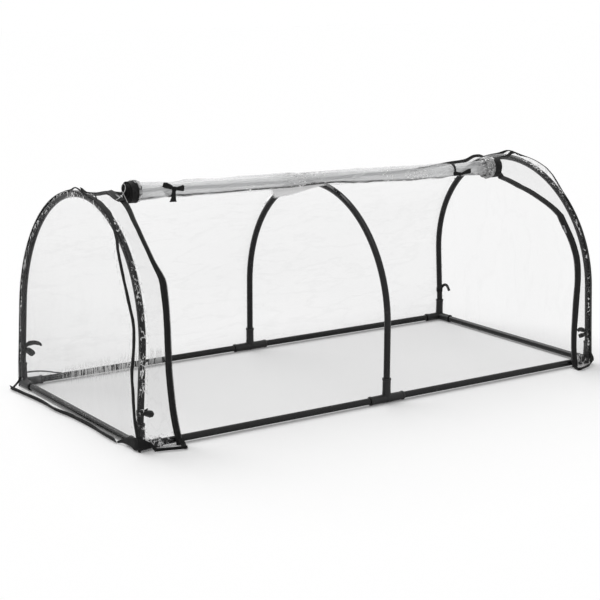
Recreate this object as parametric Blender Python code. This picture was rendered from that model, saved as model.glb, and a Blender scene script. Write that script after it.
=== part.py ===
"""Tunnel cold frame: black tube frame on the ground, three hoops, clear film cover with its
front door rolled up along the ridge. Metres, +Z up, +X along the length, front at -Y."""

import math

import bmesh
import bpy
from mathutils import Vector

# Frame
FRAME_LENGTH = 2.0
FRAME_WIDTH = 0.92
TUBE_RADIUS = 0.012
TUBE_WALL = 0.0008
TUBE_SIDES = 12
LEG_END = 0.300
LEG_MIDDLE = 0.269
HOOP_LEAN = math.radians(3.2)
LEAN_CLEARANCE = 0.005
HOOP_STEPS = 15

# Connectors
SOCKET_RADIUS = 0.0153
SOCKET_LENGTH = 0.075
SOCKET_DEPTH = 0.045
SOCKET_FIT = 0.0003
SOCKET_LIP = 0.0012
LIP_LENGTH = 0.006
HUB_SWELL = 0.0003

# Plug at the top of a hoop
PLUG_RADIUS = 0.0103
PLUG_LENGTH = 0.035
PLUG_TAPER = 0.003

# Cover
GAP = 0.0003
FILM = 0.0008
HEM_THICKNESS = 0.0008
RIDGE_ANGLE = math.radians(93.7)
RIDGE_WIDTH = 0.014
END_BINDING_WIDTH = 0.012
END_BINDING_THICKNESS = 0.0012
FILM_BOTTOM = 0.0004

# Zips
ZIP_INSET = 0.100
ZIP_TAPE_WIDTH = 0.021
CHAIN_WIDTH = 0.005
SLIDER_LENGTH = 0.013
SLIDER_PLATE = 0.0012
SLIDER_CLEARANCE = 0.0009
SLIDER_ANGLES = {"left": math.radians(103), "right": math.radians(150)}
SLIDER_OVERLAP = 0.0035
PIN_SIDES = 8
PULL_PIN_RADIUS = 0.0007
PULL_EYE_RADIUS = 0.0021
PULL_EYE_CLEARANCE = 0.0004
PULL_EYE_WIDTH = 0.0034
PULL_NECK = 0.006
PULL_NECK_INSET = 0.00017
PULL_LENGTH = 0.026
PULL_WIDTH = 0.0075
PULL_THICKNESS = 0.0012
PULL_GRIP_THICKNESS = 0.0013
EAR_THICKNESS = 0.0011

# The right zip hangs slack from the roll down to this angle: shares of that way, shift, sag
SLACK_END = math.radians(144)
SLACK = (
    (0.0, 0.089, 0.0), (0.26, 0.089, 0.046), (0.5, 0.067, 0.037),
    (0.75, 0.037, 0.017), (0.92, 0.013, 0.003), (1.0, 0.0, 0.0)
)

# Rolled door
ROLL_RADIUS = 0.027
ROLL_WALL = 0.002
ROLL_Y = -0.130
ROLL_INSET_LEFT = 0.125
ROLL_INSET_RIGHT = 0.210
ROLL_BINDING_RADIUS = 0.041
ROLL_BINDING_LENGTH = 0.046
ROLL_BINDING_CAP = 0.004
ROLL_BINDING_BEVEL = 0.005

# The roll's sag: shares of the half length, and its axis above the film's ridge in roll radii
ROLL_SAG = ((-0.80, 0.2), (-0.30, 0.515), (0.0, 0.75), (0.35, -0.175), (0.70, -0.76))

# Bows on the roll
TIE_INSET_LEFT = 0.195
TIE_INSET_RIGHT = 0.190
TIE_WIDTH = 0.016
TIE_THICKNESS = 0.0012
TIE_STEPS = 10
STRAP_GAP = 0.0006
BOW_KNOT = 0.013
BOW_KNOT_WIDTH = 0.0144
BOW_KNOT_OUT = 0.0104
BOW_LOOP = 0.032
BOW_LOOP_START = 0.004
BOW_LOOP_THICKNESS = 0.0039
BOW_LOOP_SET_BACK = 0.0026
BOW_LOOP_TRIM = 0.0016
BOW_TAIL = 0.045
BOW_TAIL_WIDTH = 0.0096
BOW_TAIL_THICKNESS = 0.0033
BOW_TAIL_SET_BACK = 0.0039

# Ribbons on the legs
LEG_TIE_HEIGHT = 0.115
LEG_TIE_WIDTH = 0.014
LEG_TIE_TAIL = 0.034
LEG_TIE_TAIL_WIDTH = 0.0098

# Ground skirts
SKIRT_WIDTH_SIDE = 0.040
SKIRT_WIDTH_END = 0.022
HEM_WIDTH = 0.010
SKIRT_GAP = 0.0007
SKIRT_END_INSET = 0.030
END_SKIRT_FRONT_INSET = 0.110
FRONT_SKIRT_START = 0.052
FRONT_SKIRT_END = 0.130
CORNER_FLAP_OUT = 0.026

# Shading
SHARP_ANGLE = math.radians(40)

# Places that follow from the sizes above
HALF_LENGTH = FRAME_LENGTH / 2
HOOP_RADIUS = FRAME_WIDTH / 2
BASE_Z = SOCKET_RADIUS + SOCKET_LIP
COVER_RADIUS = HOOP_RADIUS + SOCKET_RADIUS + SOCKET_LIP + GAP
COVER_SIDE = SOCKET_RADIUS + SOCKET_LIP + GAP
COVER_OUTSIDE = COVER_RADIUS + FILM
LEAN_START = SOCKET_LENGTH + LEAN_CLEARANCE
TUBE_END = SOCKET_LENGTH - SOCKET_DEPTH + GAP
RIDGE_SWEEP = RIDGE_WIDTH / COVER_RADIUS
SEAM_SWEEP = GAP / COVER_RADIUS
DOOR_ANGLE = RIDGE_ANGLE + RIDGE_SWEEP + 2 * SEAM_SWEEP
ZIP_PLACE = HALF_LENGTH - ZIP_INSET
ROLL_LEFT = -HALF_LENGTH + ROLL_INSET_LEFT
ROLL_RIGHT = HALF_LENGTH - ROLL_INSET_RIGHT
TIE_LEFT = ROLL_LEFT + TIE_INSET_LEFT
TIE_RIGHT = ROLL_RIGHT - TIE_INSET_RIGHT
HEADER_REACH = ROLL_RADIUS / math.cos(math.pi / TUBE_SIDES) + GAP + FILM
CHAIN_INNER = ZIP_PLACE - ZIP_TAPE_WIDTH / 2 - GAP
CHAIN_MIDDLE = CHAIN_INNER - CHAIN_WIDTH / 2

COLOURS = {
    "tube": (0.035, 0.035, 0.037, 1.0, 0.35, 0.6),
    "connector": (0.030, 0.030, 0.031, 1.0, 0.5, 0.0),
    "film": (0.88, 0.90, 0.90, 0.3, 0.12, 0.0),
    "fabric": (0.012, 0.012, 0.013, 1.0, 0.85, 0.0),
    "zip": (0.20, 0.20, 0.21, 1.0, 0.45, 0.2),
}


def clearScene():
    for item in list(bpy.data.objects):
        bpy.data.objects.remove(item, do_unlink=True)


def materialFor(name, kind):
    # Each piece has its own material in the colour of its kind.
    red, green, blue, alpha, roughness, metallic = COLOURS[kind]
    material = bpy.data.materials.new(name)
    material.use_nodes = True
    shader = material.node_tree.nodes["Principled BSDF"]
    shader.inputs["Base Color"].default_value = (red, green, blue, 1.0)
    shader.inputs["Alpha"].default_value = alpha
    shader.inputs["Roughness"].default_value = roughness
    shader.inputs["Metallic"].default_value = metallic
    return material


def addObject(name, mesh, kind, smooth=False):
    piece = bpy.data.objects.new(name, mesh)
    bpy.context.scene.collection.objects.link(piece)
    if kind is not None:
        piece.data.materials.append(materialFor(name, kind))
    if smooth:
        mesh.shade_smooth()
        mesh.set_sharp_from_angle(angle=SHARP_ANGLE)
    return piece


def meshFrom(bm, name):
    bmesh.ops.recalc_face_normals(bm, faces=bm.faces)
    mesh = bpy.data.meshes.new(name)
    bm.to_mesh(mesh)
    bm.free()
    return mesh


def outwardMesh(bm, name, points_outward):
    # An open sheet whose faces all look to the side named by the test on its largest face.
    bmesh.ops.recalc_face_normals(bm, faces=bm.faces)
    largest = max(bm.faces, key=lambda f: f.calc_area())
    if not points_outward(largest):
        bmesh.ops.reverse_faces(bm, faces=bm.faces)
    mesh = bpy.data.meshes.new(name)
    bm.to_mesh(mesh)
    bm.free()
    return mesh


def thicken(piece, thickness, offset):
    solidify = piece.modifiers.new("Wall", "SOLIDIFY")
    solidify.thickness = thickness
    solidify.offset = offset
    solidify.use_even_offset = True


def asCutter(piece):
    piece.hide_render = True
    piece.display_type = "WIRE"


def combine(piece, other, operation):
    # The other shape stays in the file as a wire guide.
    boolean = piece.modifiers.new(operation.title(), "BOOLEAN")
    boolean.operation = operation
    boolean.solver = "EXACT"
    boolean.object = other
    asCutter(other)


def ringPoints(centre, tangent, across, radius, sides):
    # A polygon with its flats at the radius, one of them facing across.
    across = (across - tangent * across.dot(tangent)).normalized()
    upward = tangent.cross(across).normalized()
    corner = radius / math.cos(math.pi / sides)
    turns = [(k + 0.5) * 2 * math.pi / sides for k in range(sides)]
    return [centre + corner * (math.cos(t) * across + math.sin(t) * upward) for t in turns]


def sweptMesh(name, points, radii, across, sides, capped):
    # Rings along a path, bridged in turn; capped makes it solid.
    bm = bmesh.new()
    rings = []
    for index, point in enumerate(points):
        before = points[max(index - 1, 0)]
        after = points[min(index + 1, len(points) - 1)]
        tangent = (after - before).normalized()
        corners = ringPoints(point, tangent, across, radii[index], sides)
        rings.append([bm.verts.new(corner) for corner in corners])
    for first, second in zip(rings, rings[1:]):
        for k in range(sides):
            following = (k + 1) % sides
            bm.faces.new((first[k], first[following], second[following], second[k]))
    if capped:
        bm.faces.new(rings[0])
        bm.faces.new(rings[-1])
    return meshFrom(bm, name)


def hollowTube(name, points, radii, across, wall, kind):
    mesh = sweptMesh(name, points, radii, across, TUBE_SIDES, False)
    piece = addObject(name, mesh, kind, smooth=True)
    thicken(piece, wall, -1)
    return piece


def solidRod(name, start, end, radius, across, kind=None, sides=TUBE_SIDES):
    points = [Vector(start), Vector(end)]
    mesh = sweptMesh(name, points, [radius, radius], Vector(across), sides, True)
    return addObject(name, mesh, kind, smooth=True)


def boxMesh(name, low, high):
    bm = bmesh.new()
    bmesh.ops.create_cube(bm, size=1.0)
    size = [b - a for a, b in zip(low, high)]
    middle = [(a + b) / 2 for a, b in zip(low, high)]
    bmesh.ops.scale(bm, vec=size, verts=bm.verts)
    bmesh.ops.translate(bm, vec=middle, verts=bm.verts)
    return meshFrom(bm, name)


def boxPiece(name, low, high, kind=None, origin=(0, 0, 0)):
    local_low = [a - o for a, o in zip(low, origin)]
    local_high = [b - o for b, o in zip(high, origin)]
    piece = addObject(name, boxMesh(name, local_low, local_high), kind)
    piece.location = origin
    return piece


def sheetPiece(name, rows, kind, thickness=FILM, inside=(0.0, 0.0, BASE_Z + LEG_MIDDLE / 2)):
    # Rows of points make an open sheet that grows outward, away from a point inside it.
    bm = bmesh.new()
    grid = [[bm.verts.new(point) for point in row] for row in rows]
    for upper, lower in zip(grid, grid[1:]):
        for k in range(len(upper) - 1):
            bm.faces.new((upper[k], upper[k + 1], lower[k + 1], lower[k]))
    middle = Vector(inside)
    mesh = outwardMesh(bm, name, lambda f: (f.calc_center_median() - middle).dot(f.normal) > 0)
    piece = addObject(name, mesh, kind, smooth=True)
    thicken(piece, thickness, 1)
    return piece


def legHeight(x):
    # The film runs straight between hoops, so its straight side rises towards the ends.
    return LEG_MIDDLE + (LEG_END - LEG_MIDDLE) * abs(x) / HALF_LENGTH


def leanShift(z):
    # The end hoops stand straight in their sockets and lean inward above them.
    return max(0.0, z - BASE_Z - LEAN_START) * math.tan(HOOP_LEAN)


def hoopX(side, z):
    return side * (HALF_LENGTH - leanShift(z))


def arcPoint(angle, radius, leg):
    # Angle 0 is the back shoulder and 180 degrees the front shoulder.
    return radius * math.cos(angle), BASE_Z + leg + radius * math.sin(angle)


def arcAngles(start, end):
    # The hoop's own stations between two angles, so that film and tube have like facets.
    step = math.pi / 2 / HOOP_STEPS
    tolerance = step / 10
    inner = [k * step for k in range(2 * HOOP_STEPS + 1)]
    inner = [a for a in inner if min(start, end) + tolerance < a < max(start, end) - tolerance]
    if start > end:
        inner.reverse()
    return [start] + inner + [end]


def hoopPath(side, leg, angles, from_front):
    # Leg inside its socket, then the leaning leg, then the arc.
    y = -HOOP_RADIUS if from_front else HOOP_RADIUS
    flat = [(y, BASE_Z + TUBE_END), (y, BASE_Z + LEAN_START)]
    flat += [arcPoint(a, HOOP_RADIUS, leg) for a in angles]
    return [Vector((hoopX(side, z) if side else 0.0, y, z)) for y, z in flat]


def makeHoop(label, side):
    leg = LEG_END if side else LEG_MIDDLE
    top = math.pi / 2
    taper = top - PLUG_TAPER / HOOP_RADIUS
    plug = top - (PLUG_TAPER + PLUG_LENGTH) / HOOP_RADIUS
    across = Vector((1, 0, 0))
    front = hoopPath(side, leg, arcAngles(math.pi, top) + [taper, plug], True)
    radii = [TUBE_RADIUS] * (len(front) - 2) + [PLUG_RADIUS] * 2
    hollowTube(label + "_hoop_front", front, radii, across, TUBE_WALL, "tube")
    mouth = taper - GAP / HOOP_RADIUS
    back = hoopPath(side, leg, arcAngles(0.0, mouth), False)
    radii = [TUBE_RADIUS] * len(back)
    hollowTube(label + "_hoop_back", back, radii, across, TUBE_WALL, "tube")


def makeBaseTubes():
    upward = Vector((0, 0, 1))
    for face, y in (("front", -HOOP_RADIUS), ("back", HOOP_RADIUS)):
        for hand, side in (("left", -1), ("right", 1)):
            near = Vector((side * TUBE_END, y, BASE_Z))
            far = Vector((side * (HALF_LENGTH - TUBE_END), y, BASE_Z))
            name = "base_tube_" + face + "_" + hand
            hollowTube(name, [near, far], [TUBE_RADIUS] * 2, upward, TUBE_WALL, "tube")
    for hand, side in (("left", -1), ("right", 1)):
        ends = [Vector((side * HALF_LENGTH, s * (HOOP_RADIUS - TUBE_END), BASE_Z)) for s in (-1, 1)]
        hollowTube("base_tube_" + hand + "_end", ends, [TUBE_RADIUS] * 2, upward, TUBE_WALL, "tube")


def socketArm(name, direction):
    # One arm from the middle of a connector, with a raised lip at its mouth.
    direction = Vector(direction)
    across = Vector((1, 0, 0)) if direction.z else Vector((0, 0, 1))
    stops = (0.0, SOCKET_LENGTH - LIP_LENGTH - SOCKET_LIP, SOCKET_LENGTH - LIP_LENGTH, SOCKET_LENGTH)
    radii = [SOCKET_RADIUS, SOCKET_RADIUS, SOCKET_RADIUS + SOCKET_LIP, SOCKET_RADIUS + SOCKET_LIP]
    points = [direction * s for s in stops]
    return addObject(name, sweptMesh(name, points, radii, across, TUBE_SIDES, True), None)


def makeConnector(name, place, directions):
    # Arms joined at a ball-like hub, then bored from their mouths.
    hub_half = SOCKET_RADIUS + HUB_SWELL
    hub = boxMesh(name, [-hub_half] * 3, [hub_half] * 3)
    piece = addObject(name, hub, "connector")
    piece.location = place
    for number, direction in enumerate(directions):
        arm = socketArm(name + "_arm_" + str(number), direction)
        arm.parent = piece
        combine(piece, arm, "UNION")
    for number, direction in enumerate(directions):
        direction = Vector(direction)
        across = (1, 0, 0) if direction.z else (0, 0, 1)
        start = direction * (SOCKET_LENGTH - SOCKET_DEPTH)
        end = direction * (SOCKET_LENGTH + LIP_LENGTH)
        label = name + "_bore_" + str(number)
        bore = solidRod(label, start, end, TUBE_RADIUS + SOCKET_FIT, across)
        bore.parent = piece
        combine(piece, bore, "DIFFERENCE")
    return piece


def makeConnectors():
    for face, front in (("front", -1), ("back", 1)):
        y = front * HOOP_RADIUS
        for hand, side in (("left", -1), ("right", 1)):
            arms = ((-side, 0, 0), (0, -front, 0), (0, 0, 1))
            place = (side * HALF_LENGTH, y, BASE_Z)
            makeConnector("corner_connector_" + face + "_" + hand, place, arms)
        tee = ((-1, 0, 0), (1, 0, 0), (0, 0, 1))
        makeConnector("tee_connector_" + face, (0, y, BASE_Z), tee)


def coverPoint(side, inset, angle, radius=COVER_RADIUS):
    # A point on the cover near an end hoop: inset is measured inward from the hoop's plane.
    y, z = arcPoint(angle, radius, LEG_END)
    x = hoopX(side, z) - side * inset
    y, z = arcPoint(angle, radius, legHeight(x))
    return Vector((x, y, z))


def coverLine(x, angles, radius=COVER_RADIUS):
    return [Vector((x, *arcPoint(a, radius, legHeight(x)))) for a in angles]


def slackAt(side, angle):
    # How far the right zip's free edge is drawn along the tunnel and sags below the arch.
    if side < 0 or angle >= SLACK_END:
        return 0.0, 0.0
    share = (angle - DOOR_ANGLE) / (SLACK_END - DOOR_ANGLE)
    for one, two in zip(SLACK, SLACK[1:]):
        if share <= two[0]:
            part = (share - one[0]) / (two[0] - one[0])
            return tuple(a + (b - a) * part for a, b in zip(one[1:], two[1:]))
    return 0.0, 0.0


def zipLine(side, angle, starts):
    # Points on the straight line from the end hoop to the zip's free edge, measured from that edge.
    shift, sag = slackAt(side, angle)
    hoop = coverPoint(side, COVER_SIDE, angle)
    x = side * (CHAIN_INNER - CHAIN_WIDTH - shift)
    edge = Vector((x, *arcPoint(angle, COVER_RADIUS - sag, legHeight(x))))
    direction = (hoop - edge).normalized()
    return [edge + direction * start for start in starts]


def zipLeg(side, z, starts):
    # The same below the shoulder, where the cover is upright.
    edge = CHAIN_INNER - CHAIN_WIDTH
    return [Vector((side * (edge + start), -COVER_RADIUS, z)) for start in starts]


def overHoop(side, angle):
    # The strip's part that lies over the end hoop.
    return [coverPoint(side, inset, angle) for inset in (GAP - COVER_SIDE, COVER_SIDE)]


def besideLeg(side, z):
    hoop = hoopX(side, z)
    return [Vector((hoop - side * inset, -COVER_RADIUS, z)) for inset in (GAP - COVER_SIDE, COVER_SIDE)]


def sideHeights():
    return [BASE_Z + LEAN_START, FILM_BOTTOM]


def makeBackPanel():
    inset = -COVER_SIDE + GAP
    rows = []
    for angle in arcAngles(RIDGE_ANGLE, 0.0):
        middle = Vector((0.0, *arcPoint(angle, COVER_RADIUS, LEG_MIDDLE)))
        rows.append([coverPoint(-1, inset, angle), middle, coverPoint(1, inset, angle)])
    for z in sideHeights():
        ends = [Vector((hoopX(s, z) - s * inset, COVER_RADIUS, z)) for s in (-1, 1)]
        rows.append([ends[0], Vector((0.0, COVER_RADIUS, z)), ends[1]])
    sheetPiece("back_panel", rows, "film")


def makeRidgeBinding():
    inset = -COVER_SIDE + GAP
    rows = []
    for angle in (RIDGE_ANGLE + SEAM_SWEEP, RIDGE_ANGLE + SEAM_SWEEP + RIDGE_SWEEP):
        middle = Vector((0.0, *arcPoint(angle, COVER_RADIUS, LEG_MIDDLE)))
        rows.append([coverPoint(-1, inset, angle), middle, coverPoint(1, inset, angle)])
    sheetPiece("ridge_binding", rows, "fabric")


def endOutline(radius):
    # The end's half outline from the ground to the top, as heights and half widths.
    outline = [(z, radius) for z in reversed(sideHeights())]
    for angle in arcAngles(0.0, math.pi / 2):
        y, z = arcPoint(angle, radius, LEG_END)
        outline.append((z, max(y, 0.0)))
    return outline


def makeEndPanel(hand, side):
    # Flat film outside the hoop, leaning with it, closed to a point at the top.
    bm = bmesh.new()
    rows = []
    for z, half in endOutline(COVER_OUTSIDE):
        x = hoopX(side, z) + side * COVER_SIDE
        rows.append([bm.verts.new((x, s * half, z)) for s in ((-1, 1) if half > GAP else (0,))])
    for lower, upper in zip(rows, rows[1:]):
        bm.faces.new(lower + list(reversed(upper)))
    mesh = outwardMesh(bm, hand + "_end_panel", lambda f: f.normal.x * side > 0)
    piece = addObject(hand + "_end_panel", mesh, "film")
    thicken(piece, FILM, 1)


def makeEndBinding(hand, side):
    # A band on the end panel that follows its edge from corner to corner.
    offset = COVER_SIDE + FILM + GAP
    inner = COVER_OUTSIDE - END_BINDING_WIDTH
    heights = list(reversed(sideHeights()))
    flat = [[(r, z) for r in (inner, COVER_OUTSIDE)] for z in heights]
    for angle in arcAngles(0.0, math.pi):
        flat.append([arcPoint(angle, r, LEG_END) for r in (inner, COVER_OUTSIDE)])
    flat += [[(-r, z) for r in (inner, COVER_OUTSIDE)] for z in reversed(heights)]
    rows = [[Vector((hoopX(side, z) + side * offset, y, z)) for y, z in pair] for pair in flat]
    bm = bmesh.new()
    grid = [[bm.verts.new(p) for p in row] for row in rows]
    for one, two in zip(grid, grid[1:]):
        bm.faces.new((one[0], one[1], two[1], two[0]))
    mesh = outwardMesh(bm, hand + "_end_binding", lambda f: f.normal.x * side > 0)
    piece = addObject(hand + "_end_binding", mesh, "fabric")
    thicken(piece, END_BINDING_THICKNESS, 1)


def makeStripAndZip(hand, side):
    # The tape is sewn along the strip's edge, and the chain along the tape's.
    tape = CHAIN_WIDTH + GAP
    strip = tape + ZIP_TAPE_WIDTH + GAP
    angles = arcAngles(DOOR_ANGLE, math.pi)
    rows = [overHoop(side, angle) + zipLine(side, angle, [strip]) for angle in angles]
    rows += [besideLeg(side, z) + zipLeg(side, z, [strip]) for z in sideHeights()]
    sheetPiece(hand + "_front_strip", rows, "film")
    bands = (
        ("_zip_tape", (tape + ZIP_TAPE_WIDTH, tape), "fabric"), ("_zip_chain", (CHAIN_WIDTH, 0.0), "zip")
    )
    for label, starts, kind in bands:
        rows = [zipLine(side, angle, starts) for angle in angles]
        rows += [zipLeg(side, z, starts) for z in sideHeights()]
        sheetPiece(hand + label, rows, kind)


def extrudedProfile(name, outline, half_length, kind):
    # A closed outline in the XY plane, extruded both ways along Z.
    bm = bmesh.new()
    face = bm.faces.new([bm.verts.new((x, y, -half_length)) for x, y in outline])
    extruded = bmesh.ops.extrude_face_region(bm, geom=[face])
    moved = [v for v in extruded["geom"] if isinstance(v, bmesh.types.BMVert)]
    bmesh.ops.translate(bm, vec=(0, 0, 2 * half_length), verts=moved)
    return addObject(name, meshFrom(bm, name), kind)


def sliderSizes():
    inner = COVER_RADIUS - SLIDER_CLEARANCE
    outer = COVER_OUTSIDE + SLIDER_CLEARANCE
    pin = outer + SLIDER_PLATE + PULL_EYE_RADIUS + PULL_EYE_CLEARANCE
    return inner, outer, pin


def turnToArch(piece, hand):
    # Local Y points out from the arch's axis and local Z down the front of the arch.
    piece.rotation_euler = (SLIDER_ANGLES[hand], 0.0, 0.0)


def makeSlider(hand, side):
    # A clip around the chain, open towards the tape, turned about the arch's own axis.
    inner, outer, pin = sliderSizes()
    tape_side = side * (CHAIN_WIDTH / 2 + SLIDER_OVERLAP)
    wall_in = -side * (CHAIN_WIDTH / 2 + SLIDER_CLEARANCE)
    wall_out = -side * (CHAIN_WIDTH / 2 + SLIDER_CLEARANCE + SLIDER_PLATE)
    outline = [
        (tape_side, inner - SLIDER_PLATE), (tape_side, inner), (wall_in, inner), (wall_in, outer),
        (tape_side, outer), (tape_side, outer + SLIDER_PLATE), (wall_out, outer + SLIDER_PLATE),
        (wall_out, inner - SLIDER_PLATE),
    ]
    name = hand + "_zip_slider"
    piece = extrudedProfile(name, outline, SLIDER_LENGTH / 2, "zip")
    centre = side * CHAIN_MIDDLE
    piece.location = (centre, 0.0, BASE_Z + legHeight(centre))
    turnToArch(piece, hand)
    for number, ear_side in enumerate((-1, 1)):
        near = PULL_EYE_WIDTH / 2 + PULL_EYE_CLEARANCE
        spread = sorted((ear_side * near, ear_side * (near + EAR_THICKNESS)))
        low = (spread[0], outer + SLIDER_PLATE / 2, -PULL_EYE_RADIUS)
        high = (spread[1], pin + PULL_PIN_RADIUS * 2, PULL_EYE_RADIUS)
        ear = boxPiece(name + "_ear_" + str(number), low, high)
        ear.parent = piece
        combine(piece, ear, "UNION")
    reach = PULL_EYE_WIDTH / 2 + PULL_EYE_CLEARANCE + EAR_THICKNESS / 2
    across = (0, 0, 1)
    rod = solidRod(name + "_pin", (-reach, pin, 0), (reach, pin, 0), PULL_PIN_RADIUS, across, sides=PIN_SIDES)
    rod.parent = piece
    combine(piece, rod, "UNION")


def makePull(hand, side):
    # An eye around the slider's pin with a flat tab that lies down the tape.
    pin = sliderSizes()[2]
    name = hand + "_zip_pull"
    half = PULL_EYE_WIDTH / 2
    ends = [Vector((-half, 0, 0)), Vector((half, 0, 0))]
    eye = sweptMesh(name, ends, [PULL_EYE_RADIUS] * 2, Vector((0, 0, 1)), TUBE_SIDES, True)
    piece = addObject(name, eye, "zip")
    centre = side * CHAIN_MIDDLE
    y, z = arcPoint(SLIDER_ANGLES[hand], pin, legHeight(centre))
    piece.location = (centre, y, z)
    turnToArch(piece, hand)
    hole_radius = PULL_PIN_RADIUS + PULL_EYE_CLEARANCE
    start = hole_radius + (PULL_EYE_RADIUS - hole_radius) / 2
    neck_half = half - PULL_NECK_INSET
    neck_low = (-neck_half, -PULL_THICKNESS / 2, start)
    neck = boxPiece(name + "_neck", neck_low, (neck_half, PULL_THICKNESS / 2, PULL_NECK))
    grip_low = (-PULL_WIDTH / 2, -PULL_GRIP_THICKNESS / 2, PULL_NECK - PULL_THICKNESS / 2)
    grip = boxPiece(name + "_grip", grip_low, (PULL_WIDTH / 2, PULL_GRIP_THICKNESS / 2, PULL_LENGTH))
    start, end = (-half * 2, 0, 0), (half * 2, 0, 0)
    hole = solidRod(name + "_hole", start, end, hole_radius, (0, 0, 1), sides=PIN_SIDES)
    for other, operation in ((neck, "UNION"), (grip, "UNION"), (hole, "DIFFERENCE")):
        other.parent = piece
        combine(piece, other, operation)


def rollStations():
    # Places along the roll and the height of its axis there.
    stations = []
    for share, lift in ROLL_SAG:
        x = share * HALF_LENGTH
        stations.append((x, BASE_Z + legHeight(x) + COVER_RADIUS + lift * ROLL_RADIUS))
    return stations


def rollPath():
    # The roll runs level from its outer stations into its end cups.
    stations = rollStations()
    first = (ROLL_LEFT + ROLL_BINDING_CAP + GAP, stations[0][1])
    last = (ROLL_RIGHT - ROLL_BINDING_CAP - GAP, stations[-1][1])
    return [Vector((x, ROLL_Y, z)) for x, z in (first, *stations, last)]


def makeRoll():
    path = rollPath()
    hollowTube("door_roll", path, [ROLL_RADIUS] * len(path), Vector((0, 0, 1)), ROLL_WALL, "film")


def makeRollBinding(hand, side):
    # A cup of wound tape over each end of the roll.
    x = ROLL_LEFT if side < 0 else ROLL_RIGHT
    z = rollStations()[0 if side < 0 else -1][1]
    bevel = ROLL_BINDING_BEVEL
    rim = ROLL_BINDING_RADIUS - bevel
    profile = (
        (0.0, rim), (bevel, ROLL_BINDING_RADIUS),
        (ROLL_BINDING_LENGTH - bevel, ROLL_BINDING_RADIUS), (ROLL_BINDING_LENGTH, rim),
        (ROLL_BINDING_LENGTH, ROLL_RADIUS + GAP), (ROLL_BINDING_CAP, ROLL_RADIUS + GAP),
    )
    bm = bmesh.new()
    rings = []
    for along, radius in profile:
        centre = Vector((x - side * along, ROLL_Y, z))
        corners = ringPoints(centre, Vector((1, 0, 0)), Vector((0, 0, 1)), radius, TUBE_SIDES)
        rings.append([bm.verts.new(c) for c in corners])
    for one, two in zip(rings, rings[1:]):
        for k in range(TUBE_SIDES):
            following = (k + 1) % TUBE_SIDES
            bm.faces.new((one[k], one[following], two[following], two[k]))
    bm.faces.new(rings[0])
    bm.faces.new(rings[-1])
    addObject(hand + "_roll_binding", meshFrom(bm, hand + "_roll_binding"), "fabric", smooth=True)


def rollHeight(x):
    # Height of the roll's axis, read along its path.
    path = rollPath()
    for one, two in zip(path, path[1:]):
        if x <= two.x:
            return one.z + (two.z - one.z) * (x - one.x) / (two.x - one.x)
    return path[-1].z


def tangentTurn(point, x, reach, way):
    # The angle at which a line from the point touches a circle around the roll's axis.
    away_y, away_z = point.y - ROLL_Y, point.z - rollHeight(x)
    return math.atan2(away_z, away_y) + way * math.acos(reach / math.hypot(away_y, away_z))


def aroundRoll(x, reach, turn):
    return Vector((x, ROLL_Y + reach * math.cos(turn), rollHeight(x) + reach * math.sin(turn)))


def foldPoint(ridge, x, reach):
    # Where a straight run from the ridge, just clear of the roll, meets the level run below it.
    touch = aroundRoll(x, reach, tangentTurn(ridge, x, reach, -1))
    level = rollHeight(x) - reach
    share = (level - ridge.z) / (touch.z - ridge.z)
    return Vector((x, ridge.y + share * (touch.y - ridge.y), level))


def makeHeader():
    # Film from the ridge binding to the roll, which lies on it.
    ends = (ROLL_LEFT + ROLL_BINDING_LENGTH + 3 * GAP, ROLL_RIGHT - ROLL_BINDING_LENGTH - 3 * GAP)
    half = TIE_WIDTH / 2
    places = [x for x, z in rollStations()]
    for middle in (TIE_LEFT, TIE_RIGHT):
        places += [middle - half, middle + half]
    places = [x for x in sorted(places) if ends[0] + half < x < ends[1] - half]
    near, fold, front = [], [], []
    for x in [ends[0]] + places + [ends[1]]:
        ridge = coverLine(x, [DOOR_ANGLE])[0]
        corner = foldPoint(ridge, x, HEADER_REACH)
        near.append(ridge)
        fold.append(corner)
        front.append(Vector((x, ROLL_Y, corner.z)))
    sheetPiece("door_header", [near, fold, front], "film")


def tieSection(x):
    # The strap from the ridge binding over the roll, around it and back under the header.
    reach = HEADER_REACH + STRAP_GAP
    steps = TIE_STEPS
    middle_angle = RIDGE_ANGLE + SEAM_SWEEP + RIDGE_SWEEP / 2
    above = Vector((x, *arcPoint(middle_angle, COVER_OUTSIDE + GAP, legHeight(x))))
    below = coverLine(x, [DOOR_ANGLE + SEAM_SWEEP], COVER_RADIUS - STRAP_GAP)[0]
    first = tangentTurn(above, x, reach, 1)
    sweep = 3 * math.pi / 2 - first
    corner = reach / math.cos(sweep / steps / 2)
    turns = [first + sweep * (k + 0.5) / steps for k in range(steps)]
    return [above] + [aroundRoll(x, corner, t) for t in turns] + [foldPoint(below, x, reach), below]


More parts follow.
